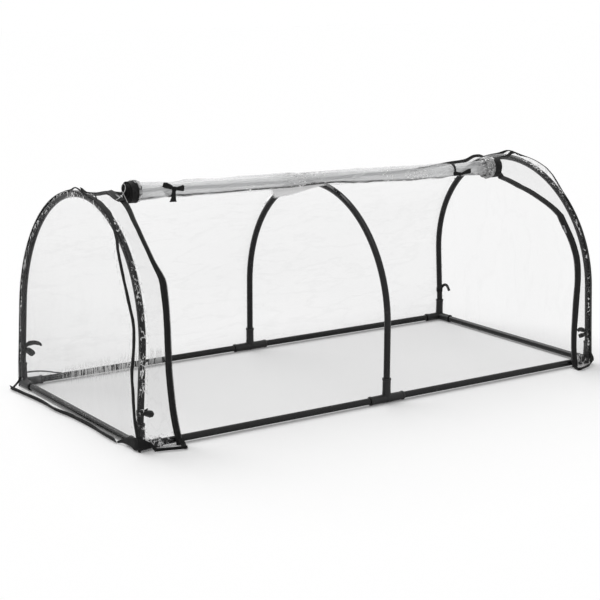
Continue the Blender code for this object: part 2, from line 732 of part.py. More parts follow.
def makeRollTie(hand, x):
    # A strap from the ridge around the roll with a knot, two loops and a tail.
    name = hand + "_roll_tie"
    z = rollHeight(x)
    half = TIE_WIDTH / 2
    sections = [tieSection(x - half), tieSection(x + half)]
    rows = list(zip(*sections))
    piece = sheetPiece(name, rows, "fabric", TIE_THICKNESS, (x, ROLL_Y, z))
    face = ROLL_Y - HEADER_REACH - STRAP_GAP - TIE_THICKNESS / 2
    front = face - BOW_KNOT_OUT
    low, high = z - BOW_KNOT / 2, z + BOW_KNOT / 2
    side = BOW_KNOT_WIDTH / 2
    knot = boxPiece(name + "_knot", (x - side, front, low), (x + side, face, high))
    combine(piece, knot, "UNION")
    near = front + BOW_LOOP_SET_BACK
    far = near + BOW_LOOP_THICKNESS
    for number, way in enumerate((-1, 1)):
        reach = sorted((x + way * BOW_LOOP_START, x + way * BOW_LOOP))
        corners = (reach[0], near, low + BOW_LOOP_TRIM), (reach[1], far, high - BOW_LOOP_TRIM / 2)
        combine(piece, boxPiece(name + "_loop_" + str(number), *corners), "UNION")
    near = front + BOW_TAIL_SET_BACK
    side = BOW_TAIL_WIDTH / 2
    corners = (x - side, near, z - BOW_TAIL), (x + side, near + BOW_TAIL_THICKNESS, z)
    combine(piece, boxPiece(name + "_tail", *corners), "UNION")


def makeLegTie(face, front, hand, side):
    # A ribbon band around the leg with a loose end that points into the tunnel.
    name = "leg_tie_" + face + "_" + hand
    z = BASE_Z + LEG_TIE_HEIGHT
    half = LEG_TIE_WIDTH / 2
    heights = (z - half, z + half)
    ends = [Vector((hoopX(side, h), front * HOOP_RADIUS, h)) for h in heights]
    inner = TUBE_RADIUS + GAP
    mesh = sweptMesh(name, ends, [inner] * 2, Vector((1, 0, 0)), TUBE_SIDES, False)
    piece = addObject(name, mesh, "fabric", smooth=True)
    thicken(piece, TIE_THICKNESS, 1)
    x = hoopX(side, z) - side * (inner + TIE_THICKNESS / 2)
    reach = sorted((x, x - side * LEG_TIE_TAIL))
    y = front * HOOP_RADIUS
    tail_half = LEG_TIE_TAIL_WIDTH / 2
    corners = (reach[0], y - TIE_THICKNESS, z - tail_half), (reach[1], y + TIE_THICKNESS, z + tail_half)
    combine(piece, boxPiece(name + "_tail", *corners), "UNION")


def flatSkirt(name, low, high, hem_low, hem_high, hinge):
    # Film flap and its hem lie on the ground, hinged along the foot of the cover.
    boxPiece(name + "_skirt", low, high, "film", hinge)
    boxPiece(name + "_hem", hem_low, hem_high, "fabric", hinge)


def makeSideSkirt(name, front, x_low, x_high):
    near = COVER_OUTSIDE + SKIRT_GAP
    far = near + SKIRT_WIDTH_SIDE
    skirt = sorted((front * near, front * far))
    hem = sorted((front * (far + GAP), front * (far + GAP + HEM_WIDTH)))
    hinge = ((x_low + x_high) / 2, front * near, FILM / 2)
    flatSkirt(
        name, (x_low, skirt[0], 0), (x_high, skirt[1], FILM),
        (x_low, hem[0], 0), (x_high, hem[1], HEM_THICKNESS), hinge
    )


def makeEndSkirt(hand, side):
    near = HALF_LENGTH + COVER_SIDE + FILM + SKIRT_GAP
    far = near + SKIRT_WIDTH_END
    skirt = sorted((side * near, side * far))
    hem = sorted((side * (far + GAP), side * (far + GAP + HEM_WIDTH)))
    y_low = -HOOP_RADIUS + END_SKIRT_FRONT_INSET
    y_high = HOOP_RADIUS - SKIRT_END_INSET
    hinge = (side * near, (y_low + y_high) / 2, FILM / 2)
    flatSkirt(
        hand + "_end", (skirt[0], y_low, 0), (skirt[1], y_high, FILM),
        (hem[0], y_low, 0), (hem[1], y_high, HEM_THICKNESS), hinge
    )


def makeSkirts():
    reach = HALF_LENGTH - SKIRT_END_INSET
    makeSideSkirt("back", 1, -reach, reach)
    starts = (HALF_LENGTH - FRONT_SKIRT_START, HALF_LENGTH - FRONT_SKIRT_END)
    makeSideSkirt("front_left", -1, -starts[0], -starts[1])
    makeSideSkirt("front_right", -1, starts[1], starts[0])
    makeEndSkirt("left", -1)
    makeEndSkirt("right", 1)


def makeCornerFlap():
    # Folded fabric on the ground around the front left corner.
    y_near = -(COVER_OUTSIDE + GAP)
    x_low = -HALF_LENGTH - CORNER_FLAP_OUT
    x_high = -HALF_LENGTH + FRONT_SKIRT_START - SKIRT_GAP
    low = (x_low, y_near - CORNER_FLAP_OUT, 0)
    boxPiece("front_left_corner_flap", low, (x_high, y_near, FILM), "fabric")


def makeCover():
    makeBackPanel()
    makeRidgeBinding()
    for hand, side in (("left", -1), ("right", 1)):
        makeEndPanel(hand, side)
        makeEndBinding(hand, side)
        makeStripAndZip(hand, side)
        makeSlider(hand, side)
        makePull(hand, side)
        makeRollBinding(hand, side)
        for face, front in (("front", -1), ("back", 1)):
            makeLegTie(face, front, hand, side)
    makeRoll()
    makeHeader()
    makeRollTie("left", TIE_LEFT)
    makeRollTie("right", TIE_RIGHT)
    makeSkirts()
    makeCornerFlap()


def main():
    clearScene()
    makeBaseTubes()
    makeConnectors()
    for label, side in (("left", -1), ("middle", 0), ("right", 1)):
        makeHoop(label, side)
    makeCover()


main()
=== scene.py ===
from math import atan2, cos, degrees, exp, hypot, pi, radians, sin, tan

import bpy
from mathutils import Matrix, Vector, noise


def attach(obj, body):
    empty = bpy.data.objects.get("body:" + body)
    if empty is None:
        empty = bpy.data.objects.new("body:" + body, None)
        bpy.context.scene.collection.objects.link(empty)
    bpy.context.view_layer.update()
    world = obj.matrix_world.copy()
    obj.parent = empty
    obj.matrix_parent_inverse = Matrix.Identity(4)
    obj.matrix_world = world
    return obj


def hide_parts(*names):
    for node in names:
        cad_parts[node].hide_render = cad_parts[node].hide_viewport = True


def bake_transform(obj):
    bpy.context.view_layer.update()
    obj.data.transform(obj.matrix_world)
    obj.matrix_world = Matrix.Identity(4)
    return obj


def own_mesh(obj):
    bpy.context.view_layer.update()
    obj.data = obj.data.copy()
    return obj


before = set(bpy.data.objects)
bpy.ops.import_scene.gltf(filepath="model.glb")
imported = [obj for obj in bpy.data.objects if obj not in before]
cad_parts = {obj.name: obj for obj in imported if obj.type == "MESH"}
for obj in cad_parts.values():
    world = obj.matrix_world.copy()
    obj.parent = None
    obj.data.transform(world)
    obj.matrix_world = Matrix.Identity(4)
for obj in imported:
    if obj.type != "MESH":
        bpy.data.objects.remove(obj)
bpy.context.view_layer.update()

# the tunnel's own sizes, the same as the frame's
tunnel = {
    "halfLength": 1.0,
    "hoopRadius": 0.46,
    "baseZ": 0.0165,
    "legEnd": 0.3,
    "legMiddle": 0.269,
    "lean": tan(radians(3.2)),
    "leanStart": 0.0965,
    "tube": 0.012,
    "coverOnTube": 0.4732,
    "coverAtFoot": 0.4778,
    "footTop": 0.1,
}


def pick(piece):
    bpy.ops.object.select_all(action="DESELECT")
    piece.select_set(True)
    bpy.context.view_layer.objects.active = piece


def applyAll(piece):
    pick(piece)
    for modifier in list(piece.modifiers):
        bpy.ops.object.modifier_apply(modifier=modifier.name)


def settle(piece):
    # place, turn and size go into the mesh, so the object sits at the origin
    pick(piece)
    bpy.ops.object.transform_apply(location=True, rotation=True, scale=True)


def smooth(piece, angle=40):
    pick(piece)
    bpy.ops.object.shade_smooth_by_angle(angle=radians(angle))


def fresh(name, add, **values):
    # a new object from one of Blender's own shapes
    bpy.ops.object.select_all(action="DESELECT")
    add(**values)
    piece = bpy.context.object
    piece.name = piece.data.name = name
    return piece


def inEdit(piece, mode="FACE", chosen="SELECT"):
    pick(piece)
    bpy.ops.object.mode_set(mode="EDIT")
    bpy.ops.mesh.select_mode(type=mode)
    if chosen:
        bpy.ops.mesh.select_all(action=chosen)


def leaveEdit():
    bpy.ops.object.mode_set(mode="OBJECT")


def tidyNormals(piece):
    inEdit(piece)
    bpy.ops.mesh.remove_doubles(threshold=0.00002)
    bpy.ops.mesh.normals_make_consistent(inside=False)
    leaveEdit()


def mix(a, b, share):
    return a + (b - a) * share


def metres(rows):
    # a table of millimetres, in metres
    return [tuple(value / 1000 for value in row) for row in rows]


def vectors(rows):
    return [Vector(row) for row in metres(rows)]


def ease(share):
    share = min(max(share, 0.0), 1.0)
    return share * share * (3 - 2 * share)


def bell(place, middle, reach):
    # 1 at the middle, falling off evenly to both sides
    return exp(-(((place - middle) / reach) ** 2))


def along(stops, place):
    # straight lines between (place, value) stops
    if place <= stops[0][0]:
        return stops[0][1]
    for one, two in zip(stops, stops[1:]):
        if place <= two[0]:
            return mix(one[1], two[1], (place - one[0]) / (two[0] - one[0]))
    return stops[-1][1]


def smoothAlong(stops, place, reach=0.02):
    return (along(stops, place - reach) + 2 * along(stops, place) + along(stops, place + reach)) / 4


def rough(x, y, z=0.0):
    return noise.noise(Vector((x, y, z)))


def wear(piece, material, body, slot, *nodes):
    # finish, body (or two bodies and where it bends between them, which leaves the piece baked where it
    # stands and attached to no body), slot, which is not used, and the nodes it stands for
    piece.data.materials.clear()
    piece.data.materials.append(material)
    if isinstance(body, tuple):
        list(body)
        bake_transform(piece)
    else:
        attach(piece, body)
    if nodes:
        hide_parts(*nodes)
    return piece


def gridPiece(name, columns, rows, place, wall=0.0, offset=0.0):
    # a flat grid, whose points then go where place(across, along) says
    grid = bpy.ops.mesh.primitive_grid_add
    piece = fresh(name, grid, x_subdivisions=columns, y_subdivisions=rows, size=2, calc_uvs=True)
    for vert in piece.data.vertices:
        vert.co = place((vert.co.x + 1) / 2, (vert.co.y + 1) / 2)
    if wall:
        solid = piece.modifiers.new("wall", "SOLIDIFY")
        solid.thickness = wall
        solid.offset = offset
        applyAll(piece)
    smooth(piece, 50)
    return piece


middleOfTunnel = Vector((0.0, 0.0, 0.35))
farBelow = Vector((0.0, 0.0, -9.0))


def faceAway(piece, inside=middleOfTunnel):
    # turn the sheet's faces away from a point
    total = sum((f.center - inside).dot(f.normal) * f.area for f in piece.data.polygons)
    if total < 0:
        inEdit(piece)
        bpy.ops.mesh.flip_normals()
        leaveEdit()


hands = (("left", -1), ("right", 1))
faces = (("front", -1), ("back", 1))


cameraPlace = {
    "where": (-3.1748, -4.5746, 1.5251),
    "right": (0.82744, -0.56154, 0.00336),
    "down": (-0.11857, -0.18056, -0.97639),
    "forward": (0.54889, 0.80751, -0.21598),
    "lens": 89.73,
    "sensor": 36.0,
}


def addCamera():
    data = bpy.data.cameras.new("camera")
    data.lens = cameraPlace["lens"]
    data.sensor_width = cameraPlace["sensor"]
    camera = bpy.data.objects.new("camera", data)
    bpy.context.scene.collection.objects.link(camera)
    right, down, forward = (Vector(cameraPlace[k]) for k in ("right", "down", "forward"))
    turn = Matrix((right, -down, -forward)).transposed()
    camera.matrix_world = Matrix.Translation(cameraPlace["where"]) @ turn.to_4x4()
    bpy.context.scene.camera = camera


studio = {
    "lamps": [  # shines from, strength, softness in degrees
        ((-0.22, -0.42, 1.0), 0.38, 40),
        ((-0.12, 0.7, 1.0), 2.12, 50),
    ],
    "worldGlow": 0.3,
    "floorColour": 0.92,
    "floorGlow": 0.115,
    "floorSize": 60,
    "floorDrop": 0.0004,
}


def addStudio():
    for index, (place, power, softness) in enumerate(studio["lamps"]):
        lamp = bpy.data.lights.new("lamp%d" % index, "SUN")
        lamp.energy = power
        lamp.angle = radians(softness)
        holder = bpy.data.objects.new("lamp%d" % index, lamp)
        bpy.context.scene.collection.objects.link(holder)
        holder.location = place
        holder.rotation_euler = (-Vector(place)).to_track_quat("-Z", "Y").to_euler()
    world = bpy.data.worlds.new("studio")
    bpy.context.scene.world = world
    world.use_nodes = True
    tree = world.node_tree
    seen = seenRay(tree)
    background = tree.nodes["Background"]
    background.inputs["Color"].default_value = (1, 1, 1, 1)
    glow = seen * (1 - studio["worldGlow"]) + studio["worldGlow"]
    tree.links.new(glow.socket, background.inputs["Strength"])
    bpy.context.scene.view_settings.view_transform = "Standard"


def addFloor():
    place = (0, 0, -studio["floorDrop"])
    floor = fresh("floor", bpy.ops.mesh.primitive_plane_add, size=studio["floorSize"], location=place)
    settle(floor)
    material = bpy.data.materials.new("studioFloor")
    material.use_nodes = True
    tree = material.node_tree
    tree.nodes.clear()
    wire = Wire(tree)
    grey = studio["floorColour"]
    paint = wire.add("ShaderNodeBsdfDiffuse", inputs={"Color": (grey, grey, grey, 1)})
    seen = seenRay(tree)
    glow = wire.add(
        "ShaderNodeEmission",
        inputs={"Color": (1, 1, 1, 1), "Strength": seen * studio["floorGlow"]},
    )
    both = wire.add("ShaderNodeAddShader", inputs={0: paint, 1: glow})
    out = tree.nodes.new("ShaderNodeOutputMaterial")
    tree.links.new(both.socket, out.inputs["Surface"])
    floor.data.materials.append(material)


class Wire:
    def __init__(self, tree, socket=None):
        self.tree = tree
        self.socket = socket

    def add(self, kind, settings=None, inputs=None, output=0):
        made = self.tree.nodes.new(kind)
        for key, value in (settings or {}).items():
            if key == "stops":
                stops = made.color_ramp.elements
                while len(stops) < len(value):
                    stops.new(0.5)
                for stop, (place, shade) in zip(stops, value):
                    stop.position = place
                    stop.color = (shade, shade, shade, 1) if isinstance(shade, (int, float)) else shade
            else:
                setattr(made, key, value)
        for key, value in (inputs or {}).items():
            if isinstance(value, Wire):
                self.tree.links.new(value.socket, made.inputs[key])
            else:
                made.inputs[key].default_value = value
        return Wire(self.tree, made.outputs[output])

    def maths(self, operation, one, two=0.0):
        return self.add("ShaderNodeMath", {"operation": operation}, {0: one, 1: two})

    def __add__(self, other):
        return self.maths("ADD", self, other)

    def __radd__(self, other):
        return self.maths("ADD", other, self)

    def __sub__(self, other):
        return self.maths("SUBTRACT", self, other)

    def __rsub__(self, other):
        return self.maths("SUBTRACT", other, self)

    def __mul__(self, other):
        return self.maths("MULTIPLY", self, other)

    def size(self):
        return self.maths("ABSOLUTE", self, self)

    def wave(self):
        return self.maths("SINE", self, self)

    def most(self, other):
        return self.maths("MAXIMUM", self, other)

    def least(self, other):
        return self.maths("MINIMUM", self, other)

    def above(self, low, high):
        # 0 below low, 1 above high, straight between
        return self.add(
            "ShaderNodeMapRange", {"clamp": True},
            {"Value": self, "From Min": low, "From Max": high, "To Min": 0.0, "To Max": 1.0},
        )


def seenRay(tree):
    # 1 for what the camera sees directly, in a mirror or through clear film
    wire = Wire(tree)
    rays = tree.nodes.new("ShaderNodeLightPath")
    camera, glossy, through = (
        Wire(tree, rays.outputs[n]) for n in ("Is Camera Ray", "Is Glossy Ray", "Is Transmission Ray")
    )
    return camera.most(glossy).most(through)


def newMaterial(name):
    material = bpy.data.materials.new(name)
    material.use_nodes = True
    tree = material.node_tree
    shader = tree.nodes["Principled BSDF"]
    return material, Wire(tree), shader


def feed(shader, wire, **values):
    # one socket each, such as Base_Color=...
    for key, value in values.items():
        socket = shader.inputs[key.replace("_", " ")]
        if isinstance(value, Wire):
            wire.tree.links.new(value.socket, socket)
        else:
            socket.default_value = value


def noiseOn(wire, coords, scale, detail=3.0, stretch=(1, 1, 1), roughness=0.55):
    placed = wire.add("ShaderNodeMapping", inputs={"Vector": coords, "Scale": stretch})
    return wire.add(
        "ShaderNodeTexNoise", {"noise_dimensions": "3D"},
        {"Vector": placed, "Scale": scale, "Detail": detail, "Roughness": roughness},
    )


def objectCoords(wire):
    return wire.add("ShaderNodeTexCoord", output=3)


def bump(wire, height, strength, distance):
    return wire.add(
        "ShaderNodeBump", inputs={"Height": height, "Strength": strength, "Distance": distance}
    )


def shadeBetween(wire, dark, light, share, blend="MIX"):
    dark, light = (tone if isinstance(tone, Wire) else (*tone, 1) for tone in (dark, light))
    settings = {"data_type": "RGBA", "blend_type": blend}
    return wire.add("ShaderNodeMix", settings, {0: share, 6: dark, 7: light}, output=2)


def coatedTube():
    # black powder coat: fine orange peel, rubbed a little lighter in places
    material, wire, shader = newMaterial("coatedTube")
    coords = objectCoords(wire)
    rubbed = noiseOn(wire, coords, 14, 6, roughness=0.7).above(0.56, 0.72)
    scuffs = noiseOn(wire, coords, 60, 3, (1, 1, 0.25)).above(0.66, 0.72)
    peel = noiseOn(wire, coords, 900, 2)
    colour = shadeBetween(wire, (0.008, 0.008, 0.0085), (0.018, 0.018, 0.0185), rubbed)
    feed(
        shader, wire, Base_Color=colour, Roughness=0.2 + rubbed * 0.1 + scuffs * 0.14,
        Metallic=0.0, Specular_IOR_Level=0.26, Normal=bump(wire, peel, 0.1, 0.0004),
    )
    return material


def mouldedPlastic():
    # black moulded polypropylene with a fine spark-eroded grain
    material, wire, shader = newMaterial("mouldedPlastic")
    coords = objectCoords(wire)
    grain = noiseOn(wire, coords, 1400, 2)
    flow = noiseOn(wire, coords, 22, 4)
    colour = shadeBetween(wire, (0.007, 0.007, 0.007), (0.016, 0.016, 0.0165), flow)
    feed(
        shader, wire, Base_Color=colour, Roughness=0.36 + flow * 0.16, Specular_IOR_Level=0.35,
        Normal=bump(wire, grain, 0.25, 0.0003),
    )
    return material


weave = {"thread": 0.0009, "seamIn": 0.0022, "stitch": 0.0034}


def wovenTape(name, width, length, shade=0.006, highlightLine=None):
    # narrow woven tape: threads across and along, a stitched line near each edge
    material, wire, shader = newMaterial(name)
    uv = wire.add("ShaderNodeUVMap")
    parts = wire.tree.nodes.new("ShaderNodeSeparateXYZ")
    wire.tree.links.new(uv.socket, parts.inputs[0])
    across = Wire(wire.tree, parts.outputs[0]) * width
    down = Wire(wire.tree, parts.outputs[1]) * length
    threads = 2 * pi / weave["thread"]
    cloth = (across * threads).wave() * (down * threads).wave()
    edge = (across - width / 2).size() - (width / 2 - weave["seamIn"])
    line = 1 - edge.size().above(0.0002, 0.0006)
    dash = (down * (2 * pi / weave["stitch"])).wave().above(-0.5, -0.2)
    stitch = line * dash
    if highlightLine is not None:
        # a painted highlight: a paler line along the tape's fold
        stitch = stitch.most((1 - (across - highlightLine).size().above(0.0006, 0.0016)) * 0.35)
    patchy = noiseOn(wire, objectCoords(wire), 55, 4)
    worn = patchy.above(0.55, 0.75)
    colour = shadeBetween(
        wire, (shade * 0.7,) * 3, (shade * 9.0,) * 3, worn * 0.35 + stitch * 0.5 + cloth * 0.06
    )
    height = cloth * 0.35 + stitch
    feed(
        shader, wire, Base_Color=colour, Roughness=0.72 - stitch * 0.25, Specular_IOR_Level=0.2,
        Normal=bump(wire, height, 0.5, 0.0004),
    )
    return material


def pointValue(wire, name):
    return wire.add("ShaderNodeAttribute", {"attribute_name": name}, output=2)


def clearFilm(name, haze, paintedTone, stretch=(1, 1, 1), wrinkle=0.04, crinkleGlint=0.0, hug=0.95, darkLow=0.0, shade=0.0):
    # thin clear film, a little hazy; faint folds; painted white glints, crinkled lines and specks standing
    # for highlights, where it lies on something;
    # greyer toward the ground, by the amount given; painted shade as a dark line along a gathered edge;
    # shade is how much of the light it keeps from what lies under it
    # the tone differs from panel to panel: lighter and darker copies of the same clear film, painted for how
    # bright each panel looks
    material, wire, shader = newMaterial(name)
    coords = objectCoords(wire)
    press, edge, streak = (pointValue(wire, n) for n in ("press", "edge", "streak"))
    soft = noiseOn(wire, coords, 5.0, 3, stretch)
    fold = noiseOn(wire, coords, 13.0, 4, stretch, 0.55)
    crease = 1 - (fold - 0.5).size().above(0.0, 0.03)
    lines = noiseOn(wire, coords, 46.0, 2, stretch, 0.7)
    thin = 1 - (lines - 0.5).size().above(0.014, 0.036)
    patch = noiseOn(wire, coords, 21.0, 3).above(0.43, 0.52)
    dots = noiseOn(wire, coords, 150.0, 2).above(0.6, 0.65)
    # glint marks: thin crinkle lines in patches and fine specks, painted white as highlights
    glintMarks = (thin * patch).most(dots * noiseOn(wire, coords, 11.0, 2).above(0.47, 0.6))
    # upright streaks, painted white as highlights where the streak value is set
    upright = noiseOn(wire, coords, 150.0, 2, (1.0, 1.0, 0.1), 0.6).above(0.42, 0.52)
    paintedGlints = (glintMarks * (press + crinkleGlint).least(1.0)).most(upright * streak)
    height = wire.add("ShaderNodeSeparateXYZ", inputs={0: coords}, output=2)
    # the film turns darker toward the ground, below half a metre
    lowDarkening = (1 - height.above(0.22, 0.5)) * darkLow
    base = (soft * 0.5 + 0.75) * haze * (1 - press * hug)
    alpha = (base + lowDarkening + edge * 0.7).most(paintedGlints * 0.9) + crease * wrinkle * (1 - press)
    if shade:
        rays = wire.tree.nodes.new("ShaderNodeLightPath")
        alpha = alpha.most(Wire(wire.tree, rays.outputs["Is Shadow Ray"]) * shade)
    # painted shade: the edge value darkens the film toward near-black and makes it more opaque
    toneAndShade = shadeBetween(wire, paintedTone, (0.04, 0.04, 0.04), (lowDarkening * 6.0).most(edge * 1.2).least(1.0))
    # painted highlights: the glint marks, and more faintly the creases, are painted near-white
    glintColour = shadeBetween(wire, (0.0,) * 3, (0.97,) * 3, (paintedGlints * 1.4 + crease * 0.25).least(1.0))
    colour = shadeBetween(wire, toneAndShade, glintColour, 1.0, "LIGHTEN")
    relief = crease * 0.4 + lines * (press * 0.3 + 0.03) + soft
    feed(
        shader, wire, Base_Color=colour, Roughness=0.14 + soft * 0.1, Alpha=alpha.least(0.96),
        Normal=bump(wire, relief, 0.3, 0.002), IOR=1.46,
    )
    return material


def flecked(name, scale, detail, dark, light, roughness, metallic=0.0, spread=None):
    # one tone that drifts into another
    material, wire, shader = newMaterial(name)
    flow = noiseOn(wire, objectCoords(wire), scale, detail)
    colour = shadeBetween(wire, dark, light, flow.above(*spread) if spread else flow)
    feed(shader, wire, Base_Color=colour, Roughness=roughness + flow * 0.2, Metallic=metallic)
    return material


def legAt(x):
    share = min(abs(x) / tunnel["halfLength"], 1.05)
    return tunnel["baseZ"] + mix(tunnel["legMiddle"], tunnel["legEnd"], share)


def hoopX(side, z):
    return side * (tunnel["halfLength"] - max(0.0, z - tunnel["leanStart"]) * tunnel["lean"])


def arch(x, turn, radius):
    # turn in radians: 0 back shoulder, pi front shoulder
    return Vector((x, radius * cos(turn), legAt(x) + radius * sin(turn)))


def coverAt(x, way, radius=None):
    # way: metres along the cover from the ridge, to the back positive, to the front negative
    reach = tunnel["coverOnTube"] if radius is None else radius
    leg = legAt(x)
    quarter = reach * pi / 2
    side = 1 if way >= 0 else -1
    if abs(way) <= quarter:
        turn = abs(way) / reach
        return Vector((x, side * reach * sin(turn), leg + reach * cos(turn)))
    z = max(leg - (abs(way) - quarter), 0.0)
    foot = 0.0
    if radius is None:
        foot = (tunnel["coverAtFoot"] - reach) * ease(1 - (z - 0.02) / tunnel["footTop"])
    return Vector((x, side * (reach + foot), z))


def wayDown(x):
    # metres from the ridge to the ground
    return tunnel["coverOnTube"] * pi / 2 + legAt(x)


def outward(way):
    turn = min(abs(way) / tunnel["coverOnTube"], pi / 2)
    side = 1 if way >= 0 else -1
    return Vector((0.0, side * sin(turn), cos(turn)))


# how near the film lies, and over what distance that fades: on the base tubes in height, on the hoops
lying = {"cover": (0.04, 0.016), "end": (0.034, 0.016), "hoop": (0.009, 0.01), "endHoop": (0.008, 0.01)}


def lies(kind, gap):
    near, fade = lying[kind]
    return 1 - ease((gap - near) / fade)


def tubeNear(point, foot=1.0):
    # 1 where the film lies on a hoop or on a tube of the base, 0 away from them
    best = foot * lies("cover", point.z)
    for side in (-1, 0, 1):
        x = hoopX(side, point.z) if side else 0.0
        best = max(best, lies("hoop", abs(point.x - x)))
    return best


def endNear(point, foot=1.0):
    # the end film lies on the outer side of its hoop and of the base tube
    leg = legAt(1.0)
    reach = hypot(point.y, point.z - leg) if point.z > leg else abs(point.y)
    ring = lies("endHoop", abs(reach - tunnel["hoopRadius"]))
    return max(ring, foot * lies("end", point.z))


def press(piece, amount=tubeNear, name="press"):
    # a value per point for the film's finish; by default how hard the film lies on something, which sets
    # where white glints are painted
    layer = piece.data.attributes.new(name, "FLOAT", "POINT")
    for vert, value in zip(piece.data.vertices, layer.data):
        value.value = amount(vert.co)


print("stage: camera and studio")
addCamera()
addStudio()
addFloor()

finishes = {
    "tube": coatedTube(),
    "connector": mouldedPlastic(),
    "zipTeeth": flecked("zipTeeth", 240, 3, (0.03, 0.03, 0.03), (0.07, 0.07, 0.072), 0.3),
    # black nickel, brighter in patches
    "zipMetal": flecked("zipMetal", 420, 4, (0.16, 0.16, 0.165), (0.42, 0.42, 0.43), 0.28, 0.9, (0.45, 0.7)),
}


tubeMake = {"sides": 28, "spinSteps": 26, "wall": 0.0008, "endIn": 0.0303, "mouthDepth": 0.02}


def straightTube(name, start, end, node):
    # a cylinder with its two mouths turned in
    start, end = Vector(start), Vector(end)
    way = end - start
    tube = fresh(
        name, bpy.ops.mesh.primitive_cylinder_add,
        vertices=tubeMake["sides"], radius=tunnel["tube"], depth=way.length, end_fill_type="NGON",
        location=(start + end) / 2, rotation=way.to_track_quat("Z", "Y").to_euler(),
    )
    settle(tube)
    inEdit(tube, chosen="DESELECT")
    leaveEdit()
    for face in tube.data.polygons:
        face.select = len(face.vertices) > 4
    inEdit(tube, chosen=None)
    bpy.ops.mesh.inset(thickness=tubeMake["wall"], depth=0.0)
    bpy.ops.mesh.extrude_region_shrink_fatten(
        TRANSFORM_OT_shrink_fatten={"value": -tubeMake["mouthDepth"]}
    )
    leaveEdit()
    smooth(tube)
    wear(tube, finishes["tube"], "frame", "tube", node)


def bentTube(name, side, front, node):
    # a ring at the foot, pulled up the leg and spun round to the top, then leaned with its hoop
    leg = tunnel["baseZ"] + (tunnel["legEnd"] if side else tunnel["legMiddle"])
    foot = tunnel["baseZ"] + tubeMake["endIn"]
    y = front * tunnel["hoopRadius"]
    tube = fresh(
        name, bpy.ops.mesh.primitive_circle_add,
        vertices=tubeMake["sides"], radius=tunnel["tube"], fill_type="NOTHING", location=(0, y, foot),
    )
    settle(tube)
    inEdit(tube, "EDGE")
    halfLeg = (leg - tunnel["leanStart"]) / 2
    for part in (tunnel["leanStart"] - foot, halfLeg, halfLeg):
        bpy.ops.mesh.extrude_region_move(TRANSFORM_OT_translate={"value": (0, 0, part)})
    bpy.ops.mesh.spin(
        steps=tubeMake["spinSteps"], angle=-front * pi / 2, center=(0, 0, leg), axis=(1, 0, 0)
    )
    leaveEdit()
    top = max(v.co.z for v in tube.data.vertices)
    if top < leg + tunnel["hoopRadius"] - 0.01:
        print("spin went the wrong way for", name)
    for vert in tube.data.vertices:
        vert.co.x += hoopX(side, vert.co.z) if side else 0.0
    wall = tube.modifiers.new("wall", "SOLIDIFY")
    wall.thickness = tubeMake["wall"]
    tidyNormals(tube)
    wall.offset = -1
    applyAll(tube)
    smooth(tube)
    wear(tube, finishes["tube"], "frame", "tube", node)


def makeTubes():
    half, width, z = tunnel["halfLength"], tunnel["hoopRadius"], tunnel["baseZ"]
    end = tubeMake["endIn"]
    for where, front in faces:
        for hand, side in hands:
            straightTube(
                "baseTube_%s_%s" % (where, hand), (side * end, front * width, z),
                (side * (half - end), front * width, z), "base_tube_%s_%s" % (where, hand),
            )
    for hand, side in hands:
        straightTube(
            "baseTube_%sEnd" % hand,
            (side * half, -width + end, z), (side * half, width - end, z), "base_tube_%s_end" % hand,
        )
    for label, side in (("left", -1), ("middle", 0), ("right", 1)):
        for where, front in faces:
            bentTube("%sHoop_%s" % (label, where), side, front, "%s_hoop_%s" % (label, where))


print("stage: tubes")
makeTubes()


connectorMake = {
    "sides": 32, "hub": 0.0166, "flatAt": 0.0002,
    "profile": metres([  # along the arm from the middle, radius; in millimetres
        (0, 15), (12, 16), (20, 15.6), (30, 15.1), (66.5, 14.9), (68, 16.3), (73.5, 16.4), (75, 15.8),
        (75, 12.3), (45, 12.2),
    ]),
}


def makeArm(name, direction, place):
    # the arm's outline, spun round its own line
    was, *steps = connectorMake["profile"]
    circle = bpy.ops.mesh.primitive_circle_add
    arm = fresh(name, circle, vertices=connectorMake["sides"], radius=was[1], fill_type="NGON")
    inEdit(arm)
    for step in steps:
        bpy.ops.mesh.extrude_region_move(TRANSFORM_OT_translate={"value": (0, 0, step[0] - was[0])})
        share = step[1] / was[1]
        bpy.ops.transform.resize(value=(share, share, 1), center_override=(0, 0, 0))
        was = step
    leaveEdit()
    tidyNormals(arm)
    arm.rotation_euler = Vector(direction).to_track_quat("Z", "Y").to_euler()
    arm.location = place
    settle(arm)
    return arm


def makeConnector(name, place, directions, node):
    sides = connectorMake["sides"]
    ball = bpy.ops.mesh.primitive_uv_sphere_add
    hub = fresh(
        name, ball, segments=sides, ring_count=sides // 2, radius=connectorMake["hub"], location=place
    )
    settle(hub)
    inEdit(hub)
    # the hub lies flat on the ground
    ground = (0, 0, connectorMake["flatAt"])
    bpy.ops.mesh.bisect(plane_co=ground, plane_no=(0, 0, 1), use_fill=True, clear_inner=True)
    leaveEdit()
    for index, direction in enumerate(directions):
        arm = makeArm(name + "_arm%d" % index, direction, place)
        union = hub.modifiers.new("arm", "BOOLEAN")
        union.operation = "UNION"
        union.solver = "EXACT"
        union.object = arm
        applyAll(hub)
        bpy.data.objects.remove(arm)
    smooth(hub, 35)
    wear(hub, finishes["connector"], "frame", "connector", node)


def makeConnectors():
    half, width, z = tunnel["halfLength"], tunnel["hoopRadius"], tunnel["baseZ"]
    for where, front in faces:
        for hand, side in hands:
            arms = ((-side, 0, 0), (0, -front, 0), (0, 0, 1))
            makeConnector(
                "corner_%s_%s" % (where, hand), (side * half, front * width, z), arms,
                "corner_connector_%s_%s" % (where, hand),
            )
        arms = ((-1, 0, 0), (1, 0, 0), (0, 0, 1))
        makeConnector("tee_" + where, (0, front * width, z), arms, "tee_connector_" + where)


print("stage: connectors")
makeConnectors()


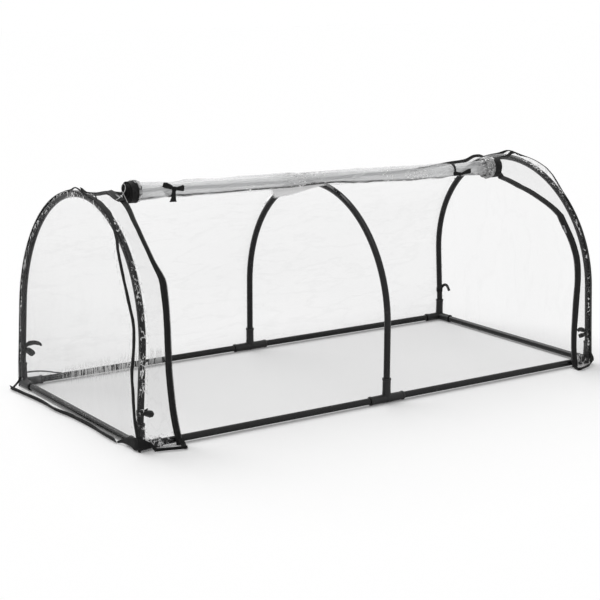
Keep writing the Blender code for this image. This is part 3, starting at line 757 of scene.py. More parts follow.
# the ridge seam's own waves near its two ends: (x, rise) in millimetres
ridgeWaves = metres([
    (-980, 0), (-955, -3), (-920, -4), (-890, 4), (-865, 5), (-830, -1), (-780, 0), (200, 0), (360, -7),
    (460, -6), (580, 2), (660, 6), (710, 10), (745, 27), (785, 27), (820, 10), (860, 2), (950, 0),
])

backCover = {
    "columns": 240, "rows": 110, "ridge": -0.031, "outboard": 0.014,
    "sag": 0.006, "flat": (2.03, 1.1),
}


def ripples(way, x):
    # long shallow folds that run along the tunnel, and a few that fan from the hoops
    lengthwise = rough(x * 1.1, way * 13.0, 3.1) * 0.0022 + rough(x * 2.3, way * 31.0, 7.7) * 0.0009
    fan = 0.0
    for hoop in (-0.98, 0.0, 0.98):
        fan += bell(x, hoop, 0.16) * rough(x * 21.0, way * 5.0, 11.0 + hoop) * 0.0024
    return lengthwise + fan


def bayShare(x):
    # 0 at the hoops, 1 midway between two
    share = min(abs(x) / 0.975, 1.0)
    return 4 * share * (1 - share)


def backPoint(u, v):
    guess = coverAt(mix(-1, 1, u), mix(backCover["ridge"], wayDown(1.0), v))
    edge = hoopX(1, guess.z) + backCover["outboard"]
    x = mix(-edge, edge, u)
    way = mix(backCover["ridge"], wayDown(x), v)
    point = coverAt(x, way)
    free = bayShare(x) * ease(point.z / 0.08)
    shift = -backCover["sag"] * free * ease((point.z - 0.1) / 0.3)
    shift += ripples(way, x) * free
    point += outward(way) * shift
    if v < 0.35:
        point.z -= ridgeDip(x) * (1 - ease(v / 0.35))
    if v < 0.12:
        point.z += smoothAlong(ridgeWaves, x, 0.012) * (1 - ease(v / 0.12))
    point.z += peak(x) * (1 - ease((way + 0.03) / 0.1))
    return point


def ridgeDip(x):
    # the ridge sags between its hoops, more beside the rolled door's ends
    return 0.004 * bayShare(x) + 0.01 * (bell(x, -0.84, 0.1) + bell(x, 0.8, 0.12))


def peak(x):
    # the cover's corner stands up over the top of each end hoop
    return 0.013 * ease((-x - 0.955 if x < 0 else x - 0.925) / 0.025)


def makeBackCover():
    piece = gridPiece("backCover", backCover["columns"], backCover["rows"], backPoint)
    faceAway(piece)
    press(piece, lambda p: tubeNear(p, 0.0) * ease((p.z - 0.55) / 0.1))
    film = clearFilm("filmBack", 0.2, (0.8, 0.8, 0.805), (0.3, 1.0, 1.0), wrinkle=0.035, shade=0.46)
    wear(piece, film, "frame", "film", "back_panel")


tapeMake = {
    "wall": 0.0008, "endWidth": 0.01, "endFold": 0.004, "finWidth": 0.008, "finFold": 0.007,
    "topFold": 0.018, "tubeSide": 0.0126,
}

# how far the end seam stands outboard of its hoop: (way down from the top, distance) in millimetres
seamOut = {
    "left_front": metres([
        (0, 22), (80, 14), (220, 9), (273, 13), (301, 18.5), (343, 26.5), (382, 37.5), (419, 43.5),
        (455, 46.5), (490, 48), (556, 46.5), (590, 43), (620, 38.5), (650, 37), (685, 38.5), (717, 40),
        (750, 42.5), (780, 45.5), (814, 43), (848, 39), (880, 36.5), (948, 28.5), (980, 24),
        (1020, 18.5), (1060, 12),
    ]),
    "left_back": metres([(0, 22), (70, 11), (150, 4), (950, 3), (1060, 8)]),
    "right_front": metres([
        (0, 0), (50, 14), (100, 21), (150, 27), (200, 31), (250, 26), (300, 15), (360, 5), (450, 1),
        (950, 0), (1060, 4),
    ]),
    "right_back": metres([(0, 0), (80, 8), (150, 4), (1060, 4)]),
}


def seamPoint(hand, front, down):
    # a point on the seam between the end and the cover; down is 0 at the top and 1 at the ground
    side = -1 if hand == "left" else 1
    way = front * down * wayDown(1.0)
    point = coverAt(side * 0.99, way)
    out = along(seamOut["%s_%s" % (hand, "front" if front < 0 else "back")], abs(way))
    point.x = hoopX(side, point.z) + side * out
    lift = 0.013 * bell(way, 0.0, 0.045)
    if hand == "right":
        lift += 0.006 * bell(way, -0.12, 0.12)
    if front < 0:
        lift += 0.003 * ease(out / 0.04 - 0.4)
    point += outward(way) * lift
    return point


endPanel = {
    "columns": 96, "rows": 120,
    # the tone here is a painted one, set for how bright each end panel looks
    "left": (0.03, (0.5, 0.505, 0.51), (1.0, 1.0, 0.35)),  # haze, tint, stretch of the folds
    "right": (0.11, (0.5, 0.505, 0.51), (0.6, 0.6, 0.25)),
    "darkLow": {"left": 0.11, "right": 0.0},
    "flat": (0.95, 0.8), "cloth": 0.665,
}


def makeEndPanel(hand, side):
    def place(u, v):
        back, front = seamPoint(hand, 1, v), seamPoint(hand, -1, v)
        point = back.lerp(front, u)
        share = 4 * u * (1 - u)
        # the film hangs in faint upright folds
        folds = rough(point.y * 26.0, point.z * 2.2, side * 5.0) * 0.003
        folds += rough(point.y * 9.0, point.z * 1.4, side * 9.0) * 0.0045
        fan = rough(atan2(point.y, 0.85 - point.z) * 9.0, 0.5, side * 3.0) * 0.0035
        # which die out toward the tube at the foot
        point.x += side * ((folds + fan) * ease(share * 1.6) + 0.006 * share) * ease(point.z / 0.12)
        # beside the seam it lies over the outer side of the hoop
        edge = min((point - back).length, (point - front).length)
        tubeSide = abs(hoopX(side, point.z)) + tapeMake["tubeSide"]
        if 0.006 < edge < 0.05:
            point.x = side * max(abs(point.x), mix(tubeSide, abs(point.x), ease((edge - 0.03) / 0.02)))
        return point

    def paintGlintStreaks(p):
        # painted white upright streaks low in the panel, highlights on its folds, more of them toward the
        # front hoop
        more = 0.2 + 0.45 * ease((0.2 - p.y) / 0.3)
        return more * bell(p.z, 0.155 - 0.3 * p.y, 0.034)

    piece = gridPiece("%sEnd" % hand, endPanel["columns"], endPanel["rows"], place)
    tidyNormals(piece)
    faceAway(piece)
    if side < 0:
        press(piece, lambda p: endNear(p, 0.4))
        press(piece, paintGlintStreaks, "streak")
    else:
        press(piece, lambda p: 0.3 * endNear(p, 0.0))
    name, darkLow = "film%sEnd" % hand.capitalize(), endPanel["darkLow"][hand]
    film = clearFilm(name, *endPanel[hand], wrinkle=0.02, crinkleGlint=0.02, darkLow=darkLow)
    wear(piece, film, "frame", "film", "%s_end_panel" % hand)
    "%s_hoop_front" % hand
    "%s_hoop_back" % hand


# the zip's place along the front edge; the right one hangs slack below the rolled door
zipPath = {
    "inset": 0.1, "tape": 0.021, "chain": 0.005, "gap": 0.0003, "radius": 0.4768,
    "top": radians(95.8), "slackEnd": radians(144.0),
    "thick": 0.0009, "highlightLine": 0.68, "hoopIn": 0.014, "overHoop": 0.0008,
    "shift": [(0.0, 0.089), (0.26, 0.089), (0.5, 0.067), (0.75, 0.037), (0.92, 0.013), (1.0, 0.0)],
    "sag": [(0.0, 0.0), (0.26, 0.049), (0.5, 0.04), (0.75, 0.019), (0.92, 0.003), (1.0, 0.0)],
}

# its free edge from the middle of the tunnel, and its length on the arch and on the leg
zipInner = 1.0 - zipPath["inset"] - zipPath["tape"] / 2 - zipPath["gap"] - zipPath["chain"]
zipArc = zipPath["radius"] * (pi - zipPath["top"])
zipLeg = legAt(0.9)


def zipEdge(side, turn):
    # the free edge of the zip's chain at this turn of the arch, and the hoop's film at the same turn
    x, sag = zipInner, 0.0
    if side > 0 and turn < zipPath["slackEnd"]:
        share = (turn - zipPath["top"]) / (zipPath["slackEnd"] - zipPath["top"])
        x -= along(zipPath["shift"], share)
        sag = along(zipPath["sag"], share)
    edge = arch(side * x, turn, zipPath["radius"] - sag)
    hoopZ = legAt(1.0) + zipPath["radius"] * sin(turn)
    x = hoopX(side, hoopZ) - side * zipPath["hoopIn"]
    return edge, arch(x, turn, tunnel["coverOnTube"] + zipPath["overHoop"])


# small real-life bends of each zip along the tunnel and how far its tape is folded narrower,
# by share of the way from the ridge to the ground
zipBend = {
    "left": [
        (0.0, 0.0), (0.05, 0.003), (0.093, 0.018), (0.159, 0.009), (0.214, -0.002), (0.304, -0.007),
        (0.381, -0.003), (0.418, 0.004), (0.45, 0.014), (0.485, 0.009), (0.519, 0.006), (0.582, 0.0),
        (0.65, -0.004), (0.744, -0.003), (0.811, 0.003), (0.879, 0.01), (0.948, 0.022), (1.0, 0.036),
    ],
    "right": [
        (0.0, 0.0), (0.42, -0.002), (0.46, 0.005), (0.5, 0.013), (0.57, 0.022), (0.65, 0.019),
        (0.73, 0.013), (0.86, 0.009), (0.92, 0.011), (0.96, 0.016), (1.0, 0.024),
    ],
}
zipWide = {
    "left": [
        (0.0, 0.9), (0.1, 0.95), (0.17, 0.72), (0.25, 0.62), (0.38, 0.62), (0.44, 0.95), (0.47, 1.05),
        (0.55, 0.95), (1.0, 1.0),
    ],
    "right": [
        (0.0, 0.95), (0.15, 1.1), (0.3, 1.2), (0.42, 1.55), (0.5, 1.4), (0.75, 1.35), (0.9, 1.15),
        (1.0, 1.15),
    ],
}


def zipAcross(side, down, distance):
    # a point so far from the free edge; down runs from 0 at the ridge to 1 at the ground
    hand = "left" if side < 0 else "right"
    way = down * (zipArc + zipLeg)
    middle = zipPath["chain"] + zipPath["tape"] * 0.45
    distance = middle + (distance - middle) * smoothAlong(zipWide[hand], down)
    bend = Vector((smoothAlong(zipBend[hand], down), 0.0, 0.0))
    if way <= zipArc:
        edge, hoop = zipEdge(side, zipPath["top"] + way / zipPath["radius"])
        return edge + (hoop - edge).normalized() * distance + bend
    z = max(zipLeg - (way - zipArc), 0.0)
    return Vector((side * (zipInner + distance), -zipPath["radius"], z)) + bend


# overHoop is the share of the strip's columns that run from the zip to the hoop
stripMake = {
    "columns": 46, "rows": 190, "underTape": 0.006, "overHoop": 0.72,
    "left": (0.14, 1.04), "right": (0.2, 1.04), "cloth": 0.125,
}


def makeStrip(hand, side):
    start = zipPath["chain"] + zipPath["gap"] + zipPath["tape"] - stripMake["underTape"]

    def place(u, v):
        split = stripMake["overHoop"]
        hoop = overHoop(side, v)
        if u < split:
            share = u / split
            point = zipAcross(side, v, start).lerp(hoop, share)
        else:
            share = (u - split) / (1 - split)
            point = hoop.lerp(seamPoint(hand, -1, seamShare(v)), share)
        fold = rough(point.x * 30.0, v * 11.0, side * 2.0) * 0.0022
        fold += rough(v * 34.0, point.x * 9.0, 5.0) * 0.0014
        lean = Vector((0.0, point.y, max(point.z - legAt(point.x), 0.0)))
        out = lean.normalized() if lean.length > 0.01 else Vector((0, -1, 0))
        return point + out * fold * sin(pi * share)

    piece = gridPiece("%sFrontStrip" % hand, stripMake["columns"], stripMake["rows"], place)
    faceAway(piece)
    press(piece)
    if side < 0:
        # a band of painted white streaks, as highlights, about 0.3 m up on the strip, away from the tubes
        press(piece, lambda p: 0.6 * bell(p.z, 0.305, 0.03) * (1 - tubeNear(p, 0.0)), "streak")
    # the strips' film is painted a dark tone, for the shade seen through them
    film = clearFilm("film%sStrip" % hand.capitalize(), 0.1, (0.3,) * 3, (1.0, 1.0, 0.5), crinkleGlint=0.03)
    wear(piece, film, "frame", "film", "%s_front_strip" % hand)
    "%s_hoop_front" % hand


def seamShare(v):
    # the same height on the end seam as on the zip
    way, full = v * (zipArc + zipLeg), wayDown(1.0)
    start = (zipPath["top"] - pi / 2) * tunnel["coverOnTube"]
    shoulder = tunnel["coverOnTube"] * pi / 2
    if way <= zipArc:
        return mix(start, shoulder, way / zipArc) / full
    return mix(shoulder, full, (way - zipArc) / zipLeg) / full


def overHoop(side, v):
    # where the film lies on top of the end hoop
    point = coverAt(side * 0.98, -seamShare(v) * wayDown(1.0))
    point.x = hoopX(side, point.z)
    return point


print("stage: film")
makeBackCover()
for hand, side in hands:
    makeEndPanel(hand, side)
    makeStrip(hand, side)


def makeEndBinding(hand, side):
    # one tape over the end seam, folded: a leg on the cover, wide where the seam stands off the
    # hoop, and a leg on the end panel
    length = 2 * wayDown(1.0)

    def place(u, v):
        front = -1 if v >= 0.5 else 1
        down = abs(v - 0.5) * 2
        way = front * down * wayDown(1.0)
        seam = seamPoint(hand, front, down)
        inner = seamPoint(hand, -front, down)
        across = inner - seam
        across = across.normalized() if across.length > 0.02 else Vector((0, 0, -1))
        if down < 0.1:
            across = across.lerp(Vector((0, 0, -1)), 1 - down / 0.1).normalized()
        fin = ease((abs(seam.x) - abs(hoopX(side, seam.z)) - 0.014) / 0.014)
        narrow = mix(0.35, 1.0, ease(down / 0.07))
        if u < 0.5:
            fold = mix(tapeMake["endFold"], tapeMake["finFold"], fin)
            if hand == "left" and front < 0:
                # near the top the tape lies wide over the hoop
                fold = mix(tapeMake["topFold"], fold, ease(abs(abs(way) - 0.17) / 0.1 - 0.3))
            step = (0.5 - u) / 0.5 * fold * narrow
            wave = 1 + 0.25 * rough(v * 40.0, 3.0, side)
            return seam + outward(way) * 0.0008 - Vector((side * (step * wave - 0.001), 0, 0))
        step = (u - 0.5) / 0.5 * mix(tapeMake["endWidth"], tapeMake["finWidth"], fin) * narrow
        panel = seam + across * step
        tubeSide = abs(hoopX(side, panel.z)) + tapeMake["tubeSide"]
        reach = max(abs(panel.x), tubeSide) if step > 0.003 else abs(panel.x)
        panel.x = side * (reach + 0.0006 + rough(v * 60.0, 1.0, side) * 0.0003)
        return panel

    piece = gridPiece("%sEndBinding" % hand, 8, 300, place, tapeMake["wall"])
    tape = wovenTape("tape%sEnd" % hand.capitalize(), 0.0165, length)
    wear(piece, tape, "frame", "fabric", "%s_end_binding" % hand)


def ridgePoint(x):
    # the seam between the back cover and the door, on top of the tunnel
    point = coverAt(x, backCover["ridge"] - 0.004)
    point.z += peak(x) + smoothAlong(ridgeWaves, x, 0.012) - ridgeDip(x)
    return point


# its two ends, how it lies across the seam, how it stands over it, and its tape: width, length
ridgeTape = {
    "ends": (-0.982, 0.962), "across": (0.0052, -0.0052), "over": (0.0062, -0.0042), "tape": (0.014, 1.97),
}


def makeRidgeBinding():
    # the ridge tape stands up a little along the seam
    def place(u, v):
        x = mix(*ridgeTape["ends"], v)
        point = ridgePoint(x)
        point.y += mix(*ridgeTape["across"], u)
        point.z += mix(*ridgeTape["over"], u) + 0.0012 + rough(x * 18.0, u * 2.0, 1.0) * 0.001
        return point

    piece = gridPiece("ridgeTape", 4, 240, place, tapeMake["wall"])
    wear(piece, wovenTape("tapeRidge", *ridgeTape["tape"]), "frame", "fabric", "ridge_binding")


def makeZip(hand, side):
    length = zipArc + zipLeg
    inner = zipPath["chain"] * 0.5
    outer = zipPath["chain"] + zipPath["gap"] + zipPath["tape"]

    def place(u, v):
        point = zipAcross(side, v, mix(inner, outer, u))
        wave = rough(v * 46.0, u * 1.5, side * 4.0) * 0.001
        return point + Vector((0, -0.4, 0.4)) * wave

    piece = gridPiece("%sZipTape" % hand, 8, 220, place, zipPath["thick"])
    wide = outer - inner
    # the zip tape gets a painted highlight line along its fold
    tape = wovenTape("tape%sZip" % hand.capitalize(), wide, length, highlightLine=wide * zipPath["highlightLine"])
    wear(piece, tape, "frame", "fabric", "%s_zip_tape" % hand)
    makeTeeth(hand, side, length)


teethMake = {"pitch": 0.0026, "long": 0.005, "wide": 0.0016, "thick": 0.0019, "bevel": 0.0004}


def makeTeeth(hand, side, length):
    # one moulded tooth, copied along the chain
    count = int(length / teethMake["pitch"])
    tooth = fresh("tooth", bpy.ops.mesh.primitive_cube_add, size=1)
    tooth.scale = (teethMake["long"], teethMake["wide"], teethMake["thick"])
    settle(tooth)
    inEdit(tooth)
    bpy.ops.mesh.bevel(offset=teethMake["bevel"], segments=1)
    leaveEdit()
    shape = [v.co.copy() for v in tooth.data.vertices]
    sides = [list(f.vertices) for f in tooth.data.polygons]
    bpy.data.objects.remove(tooth)
    points, polygons = [], []
    for index in range(count):
        share = (index + 0.5) / count
        places = (max(share - 0.002, 0.0), share, min(share + 0.002, 1.0))
        before, middle, after = (zipAcross(side, p, zipPath["chain"] * 0.5) for p in places)
        down = (after - before).normalized()
        across = (zipAcross(side, share, zipPath["chain"]) - middle).normalized()
        normal = across.cross(down).normalized()
        start = len(points)
        points += [middle + across * p.x + down * p.y + normal * p.z for p in shape]
        polygons += [[start + k for k in f] for f in sides]
    name = "%sZipTeeth" % hand
    mesh = bpy.data.meshes.new(name)
    mesh.from_pydata(points, [], polygons)
    piece = bpy.data.objects.new(name, mesh)
    bpy.context.scene.collection.objects.link(piece)
    tidyNormals(piece)
    wear(piece, finishes["zipTeeth"], "frame", "zip", "%s_zip_chain" % hand)


print("stage: tapes and zips")
for hand, side in hands:
    makeEndBinding(hand, side)
    makeZip(hand, side)
makeRidgeBinding()


roll = {
    "y": -0.13, "left": -0.875, "right": 0.79, "drum": 0.041, "drumLength": 0.046,
    "height": metres([(-800, 792.5), (-300, 785.7), (0, 782.6), (350, 768.7), (700, 763.7)]),
    "thick": metres([
        (-830, 30), (-740, 29), (-690, 24), (-640, 28.5), (-450, 28.5), (-300, 27), (-200, 29),
        (-70, 22.5), (100, 26.5), (300, 28), (500, 29), (565, 21.5), (610, 25), (750, 28),
    ]),
}


def rollAxis(x):
    return Vector((x, roll["y"], along(roll["height"], x)))


def aroundRoll(middle, turn, radius):
    return middle + Vector((0, cos(turn), sin(turn))) * radius


# how far its ends stand in from the drums' outer faces, its turns and the turn it starts at
rollFilm = {
    "leftIn": 0.034, "rightIn": 0.036, "turns": 2.05, "start": 0.3, "columns": 92, "rows": 330,
    "flat": (0.32, 1.62),
}


def makeRollFilm():
    # the door's film, wound loosely, creased, opening out over the wound tape at both ends
    low, high = roll["left"] + rollFilm["leftIn"], roll["right"] - rollFilm["rightIn"]

    def place(u, v):
        x = mix(low, high, v)
        turn = (u * rollFilm["turns"] + rollFilm["start"]) * 2 * pi
        middle = rollAxis(x)
        radius = along(roll["thick"], x)
        flare = exp(-((x - low) / 0.022)) + exp(-((high - x) / 0.03))
        radius = mix(radius, roll["drum"] + 0.0006, min(flare, 1.0))
        radius *= mix(0.6, 1.0, u)
        # the inner turn rests on the bottom of the outer one
        middle.z -= radius * mix(0.42, 0.0, ease(u)) * (1 - min(flare, 1.0))
        crush = rough(x * 9.0, cos(turn) * 1.2, sin(turn) * 1.2 + 3 + u * 4) * 0.0042
        crush += rough(x * 30.0, cos(turn) * 2.6, sin(turn) * 2.6 + u * 9) * 0.0018
        band = 0.0016 * cos(3 * turn + x * 2.2)
        calm = (1 - min(flare, 1.0) * 0.8) * ease(u * 6)
        radius += (crush + band) * calm
        return aroundRoll(middle, turn, radius)

    # painted white glints where the roll's film is creased: in patches on its lower part, at both ends and
    # in a few places along it
    def creaseGlints(p):
        return 0.12 + 0.88 * max(
            ease((rough(p.x * 4.0, 2.0) - 0.12) * 6) * ease((0.79 - p.z) / 0.02),
            ease((-0.8 - p.x) / 0.03), bell(p.x, -0.14, 0.09), bell(p.x, 0.23, 0.03),
            ease((p.x - 0.66) / 0.05),
        )

    def footShade(p):
        # painted shade: a dark line along the foot of the roll's front, where a gathered fold runs, darker
        # in crumpled places and in faint lines
        off = p - rollAxis(p.x)
        turn = degrees(atan2(off.z, off.y)) % 360
        outer = ease((off.length / along(roll["thick"], p.x) - 0.8) * 8)
        dark = bell(turn, 238, 12) * (0.95 + 0.5 * rough(p.x * 14.0, 1.0))
        crumpled = max(ease((p.x - 0.6) / 0.06), bell(p.x, -0.14, 0.09))
        dark += crumpled * max(0.0, 1.8 * rough(p.x * 70.0, off.y * 110.0, off.z * 110.0) - 0.15)
        dark += max(0.0, 0.5 * rough(p.x * 7.0, off.y * 80.0, off.z * 80.0) - 0.06)
        return dark * outer

    piece = gridPiece("doorRoll", rollFilm["columns"], rollFilm["rows"], place)
    press(piece, creaseGlints)
    press(piece, footShade, "edge")
    film = clearFilm(
        "filmRoll", 0.34, (0.9, 0.905, 0.91), (0.2, 1.0, 1.0), wrinkle=0.2, crinkleGlint=0.08, hug=0.0
    )
    wear(piece, film, "frame", "film", "door_roll")


header = {"endsIn": 0.045, "belly": 0.012, "flat": (0.095, 1.575)}


def makeHeader():
    # film between the ridge and the roll
    low, high = roll["left"] + header["endsIn"], roll["right"] - header["endsIn"]

    def place(u, v):
        x = mix(low, high, v)
        top = ridgePoint(x)
        top.y -= 0.004
        middle = rollAxis(x)
        foot = middle + Vector((0, 0.004, -along(roll["thick"], x) - 0.003))
        point = top.lerp(foot, u)
        # it hangs in a shallow belly
        belly = -header["belly"] * sin(pi * u) ** 0.8
        belly += rough(x * 9, u * 2.0, 4.0) * 0.003 * sin(pi * u)
        return point + Vector((0, 0.35, 0.9)) * belly

    piece = gridPiece("doorHeader", 14, 200, place)
    faceAway(piece)
    # a little painted glint all over the header
    press(piece, lambda p: 0.2)
    film = clearFilm("filmHeader", 0.14, (0.4, 0.405, 0.41), (0.3, 1, 1))
    wear(piece, film, "frame", "film", "door_header")


# where the roll's axis is taken, how far the turns lean in, and the film beside them: start, width, swell
drumMake = {
    "turns": 12.0, "pitch": 0.0031, "thick": 0.0023, "steps": 520,
    "left": {"axis": -0.85, "lean": 0.017, "film": (0.044, 0.014, 0.0)},
    "right": {"axis": 0.75, "lean": 0.006, "film": (0.042, 0.036, 0.005)},
}


def makeDrum(hand, side):
    # the door's edge tape, wound with the roll into a ribbed drum
    turns, pitch, thick = drumMake["turns"], drumMake["pitch"], drumMake["thick"]
    axis, lean = rollAxis(drumMake[hand]["axis"]), drumMake[hand]["lean"]
    outer = roll["drum"] - thick

    def place(u, v):
        turn = v * turns * 2 * pi
        radius = outer - (1 - v) * turns * pitch
        radius += 0.0006 * sin(3 * turn)
        # each turn starts a little further in than the one inside it
        shift = lean * v + 0.0022 * sin(turn * 0.7) + rough(turn * 0.23, 0.0, side) * 0.003
        x = roll[hand] - side * (0.002 + mix(abs(shift), roll["drumLength"], u))
        return aroundRoll(Vector((x, axis.y, axis.z)), turn, radius)

    piece = gridPiece("%sDrumTape" % hand, 6, drumMake["steps"], place, thick, 1.0)
    tape = wovenTape("tape%sDrum" % hand.capitalize(), 0.03, 1.0, 0.01)
    wear(piece, tape, "frame", "fabric", "%s_roll_binding" % hand)


def makeDrumFilm(hand, side):
    # crumpled film edge that stands out of the drum toward the roll
    axis = rollAxis(drumMake[hand]["axis"])
    start, wide, swell = drumMake[hand]["film"]

    def place(u, v):
        turn = v * 2 * pi
        rim = rough(cos(turn) * 2.2, sin(turn) * 2.2, side) * 0.004
        radius = roll["drum"] - 0.0015 - 0.0045 * u * u + swell * sin(pi * u)
        radius += rough(cos(turn) * 5, sin(turn) * 5 + u * 2, 4.0 + side) * 0.004 * u
        x = roll[hand] - side * (start + u * (wide + rim))
        return aroundRoll(Vector((x, axis.y, axis.z)), turn, radius)

    piece = gridPiece("%sDrumFilm" % hand, 12, 90, place)
    # painted shade: dark crumpled marks on the film's rim
    press(piece, lambda p: max(0.0, 2.4 * rough(p.x * 120.0, p.y * 90.0, p.z * 90.0)), "edge")
    # the drum's film rim is painted with many white glints
    film = clearFilm("film%sDrum" % hand.capitalize(), 0.62, (0.4,) * 3, crinkleGlint=0.6, wrinkle=0.2)
    wear(piece, film, "frame", "film")
    "%sDrumTape" % hand


print("stage: rolled door")
makeRollFilm()
makeHeader()
for hand, side in hands:
    makeDrum(hand, side)
    makeDrumFilm(hand, side)


def catmull(path, k, t):
    p0, p1 = path[max(k - 1, 0)], path[k]
    p2, p3 = path[k + 1], path[min(k + 2, len(path) - 1)]
    bend, twist = 2 * p0 - 5 * p1 + 4 * p2 - p3, 3 * p1 - p0 - 3 * p2 + p3
    return 0.5 * (2 * p1 + (p2 - p0) * t + bend * t * t + twist * t ** 3)


def alongPath(path):
    # a function that walks the path evenly, and the path's length
    lengths = [0.0]
    for one, two in zip(path, path[1:]):
        lengths.append(lengths[-1] + (two - one).length)

    def at(share):
        goal = min(max(share, 0.0), 1.0) * lengths[-1]
        for k in range(len(path) - 1):
            if goal <= lengths[k + 1]:
                return catmull(path, k, (goal - lengths[k]) / max(lengths[k + 1] - lengths[k], 1e-9))
        return path[-1].copy()

    return at, lengths[-1]


def ribbon(name, path, widths, sideWay, thick=0.001):
    # a flat ribbon along a path; widths are (share, width) stops, sideWay(v) is its width's direction
    at, total = alongPath(path)

    def place(u, v):
        return at(v) + sideWay(v) * (u - 0.5) * along(widths, v)

    return gridPiece(name, 4, max(20, int(total / 0.0025)), place, thick)


# a plane that looks to the front left, for the knots that lie open to that side
face = {
    "right": Vector((0.827, -0.562, 0.0)),
    "up": Vector((0.12, 0.18, 0.976)),
    "out": Vector((-0.549, -0.808, 0.216)),
}


def onPlane(plane, centre, a, b, c):
    # a right, b up and c out of the centre
    return centre + plane["right"] * a + plane["up"] * b + plane["out"] * c


# the upright plane before the rolled door, for its bows
rollFace = {"right": Vector((1, 0, 0)), "up": Vector((0, 0, 1)), "out": Vector((0, -1, 0))}


def faceRibbon(name, centre, points, widths, thick=0.0012, plane=face):
    # a ribbon lying in a plane: points are (right, up, out) from the centre in millimetres
    path = [onPlane(plane, centre, *point) for point in metres(points)]
    at = alongPath(path)[0]

    def sideWay(v):
        run = at(min(v + 0.02, 1.0)) - at(max(v - 0.02, 0.0))
        way = plane["out"].cross(run)
        return way.normalized() if way.length > 1e-9 else plane["up"]

    return ribbon(name, path, widths, sideWay, thick)


bowMake = {"width": 0.016, "overRoll": 0.003, "turnSteps": 16, "endThick": 0.0022}

# the strap's place and its way round the roll in degrees, the knot, and the free parts: their path in
# millimetres and their widths in metres, as (share of the way, width)
bows = {
    "left": {
        "strap": -0.695, "round": (20, -184), "knot": (-0.695, -0.165, 0.795),
        "size": (0.015, 0.011, 0.015),
        "parts": [
            ([(-4, 2, 2), (-12, 6, 4), (-25.4, 12.2, 3), (-42.6, 17.6, -2)],
             [(0, 0.008), (0.3, 0.015), (0.75, 0.02), (1, 0.015)]),
            ([(4, 1, 2), (9.4, 0.6, 4), (25, 0.4, 3), (38.7, 0.4, -1)],
             [(0, 0.009), (0.3, 0.014), (0.8, 0.022), (1, 0.014)]),
            ([(0, -4, 2), (-2.4, -10, 3), (-3.5, -23.7, 2), (-4.6, -44.2, -2)],
             [(0, 0.01), (0.4, 0.013), (0.75, 0.02), (1, 0.028)]),
        ],
    },
    "right": {
        "strap": 0.552, "round": (62, 200), "knot": (0.569, -0.163, 0.754),
        "size": (0.013, 0.01, 0.012),
        "parts": [
            ([(-4, 1, 2), (-7.6, 1.3, 3), (-20.2, 3, 3), (-31.2, 3.8, 0)],
             [(0, 0.009), (0.4, 0.015), (0.8, 0.019), (1, 0.012)]),
            ([(4, 1, 2), (10, 1.2, 3), (30.1, 5.6, 3), (55.3, 9.3, 0)],
             [(0, 0.008), (0.4, 0.013), (0.8, 0.02), (1, 0.016)]),
        ],
    },
}


def makeKnot(name, place, size):
    knot = fresh(name, bpy.ops.mesh.primitive_cube_add, size=1, location=place)
    knot.scale = size
    settle(knot)
    inEdit(knot)
    bpy.ops.mesh.subdivide(number_cuts=4)
    bpy.ops.transform.tosphere(value=0.5)
    leaveEdit()
    for vert in knot.data.vertices:
        way = vert.co - Vector(place)
        vert.co += way.normalized() * rough(way.x * 230, way.y * 230, way.z * 230) * 0.0018
    smooth(knot, 60)
    return knot


def makeBow(hand):
    lay = bows[hand]
    middle = rollAxis(lay["strap"])
    reach = along(roll["thick"], lay["strap"]) + bowMake["overRoll"]
    wide, steps = bowMake["width"], bowMake["turnSteps"]
    tape = wovenTape("ribbonBow%s" % hand.capitalize(), wide, 0.3)
    path = [ridgePoint(lay["strap"]) + Vector((0, -0.004, 0.0015))]
    for k in range(steps + 1):
        path.append(aroundRoll(middle, radians(mix(*lay["round"], k / steps)), reach))
    knotAt = Vector(lay["knot"])
    path.append(knotAt + Vector((0, 0.004, -0.003)))
    widths = [(0, wide), (0.55, wide), (0.75, 0.01), (1, 0.009)]
    strap = ribbon("%sBowStrap" % hand, path, widths, lambda v: Vector((1, 0, 0)))
    parts = [strap, makeKnot("%sBowKnot" % hand, lay["knot"], lay["size"])]
    for index, (points, widths) in enumerate(lay["parts"]):
        name = "%sBowEnd%d" % (hand, index)
        parts.append(faceRibbon(name, knotAt, points, widths, bowMake["endThick"], rollFace))
    for part in parts:
        wear(part, tape, "frame", "fabric")
    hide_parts("%s_roll_tie" % hand)


legTieMake = {"height": 0.115, "width": 0.014, "thick": 0.0018, "shade": 0.007, "turnSteps": 20}

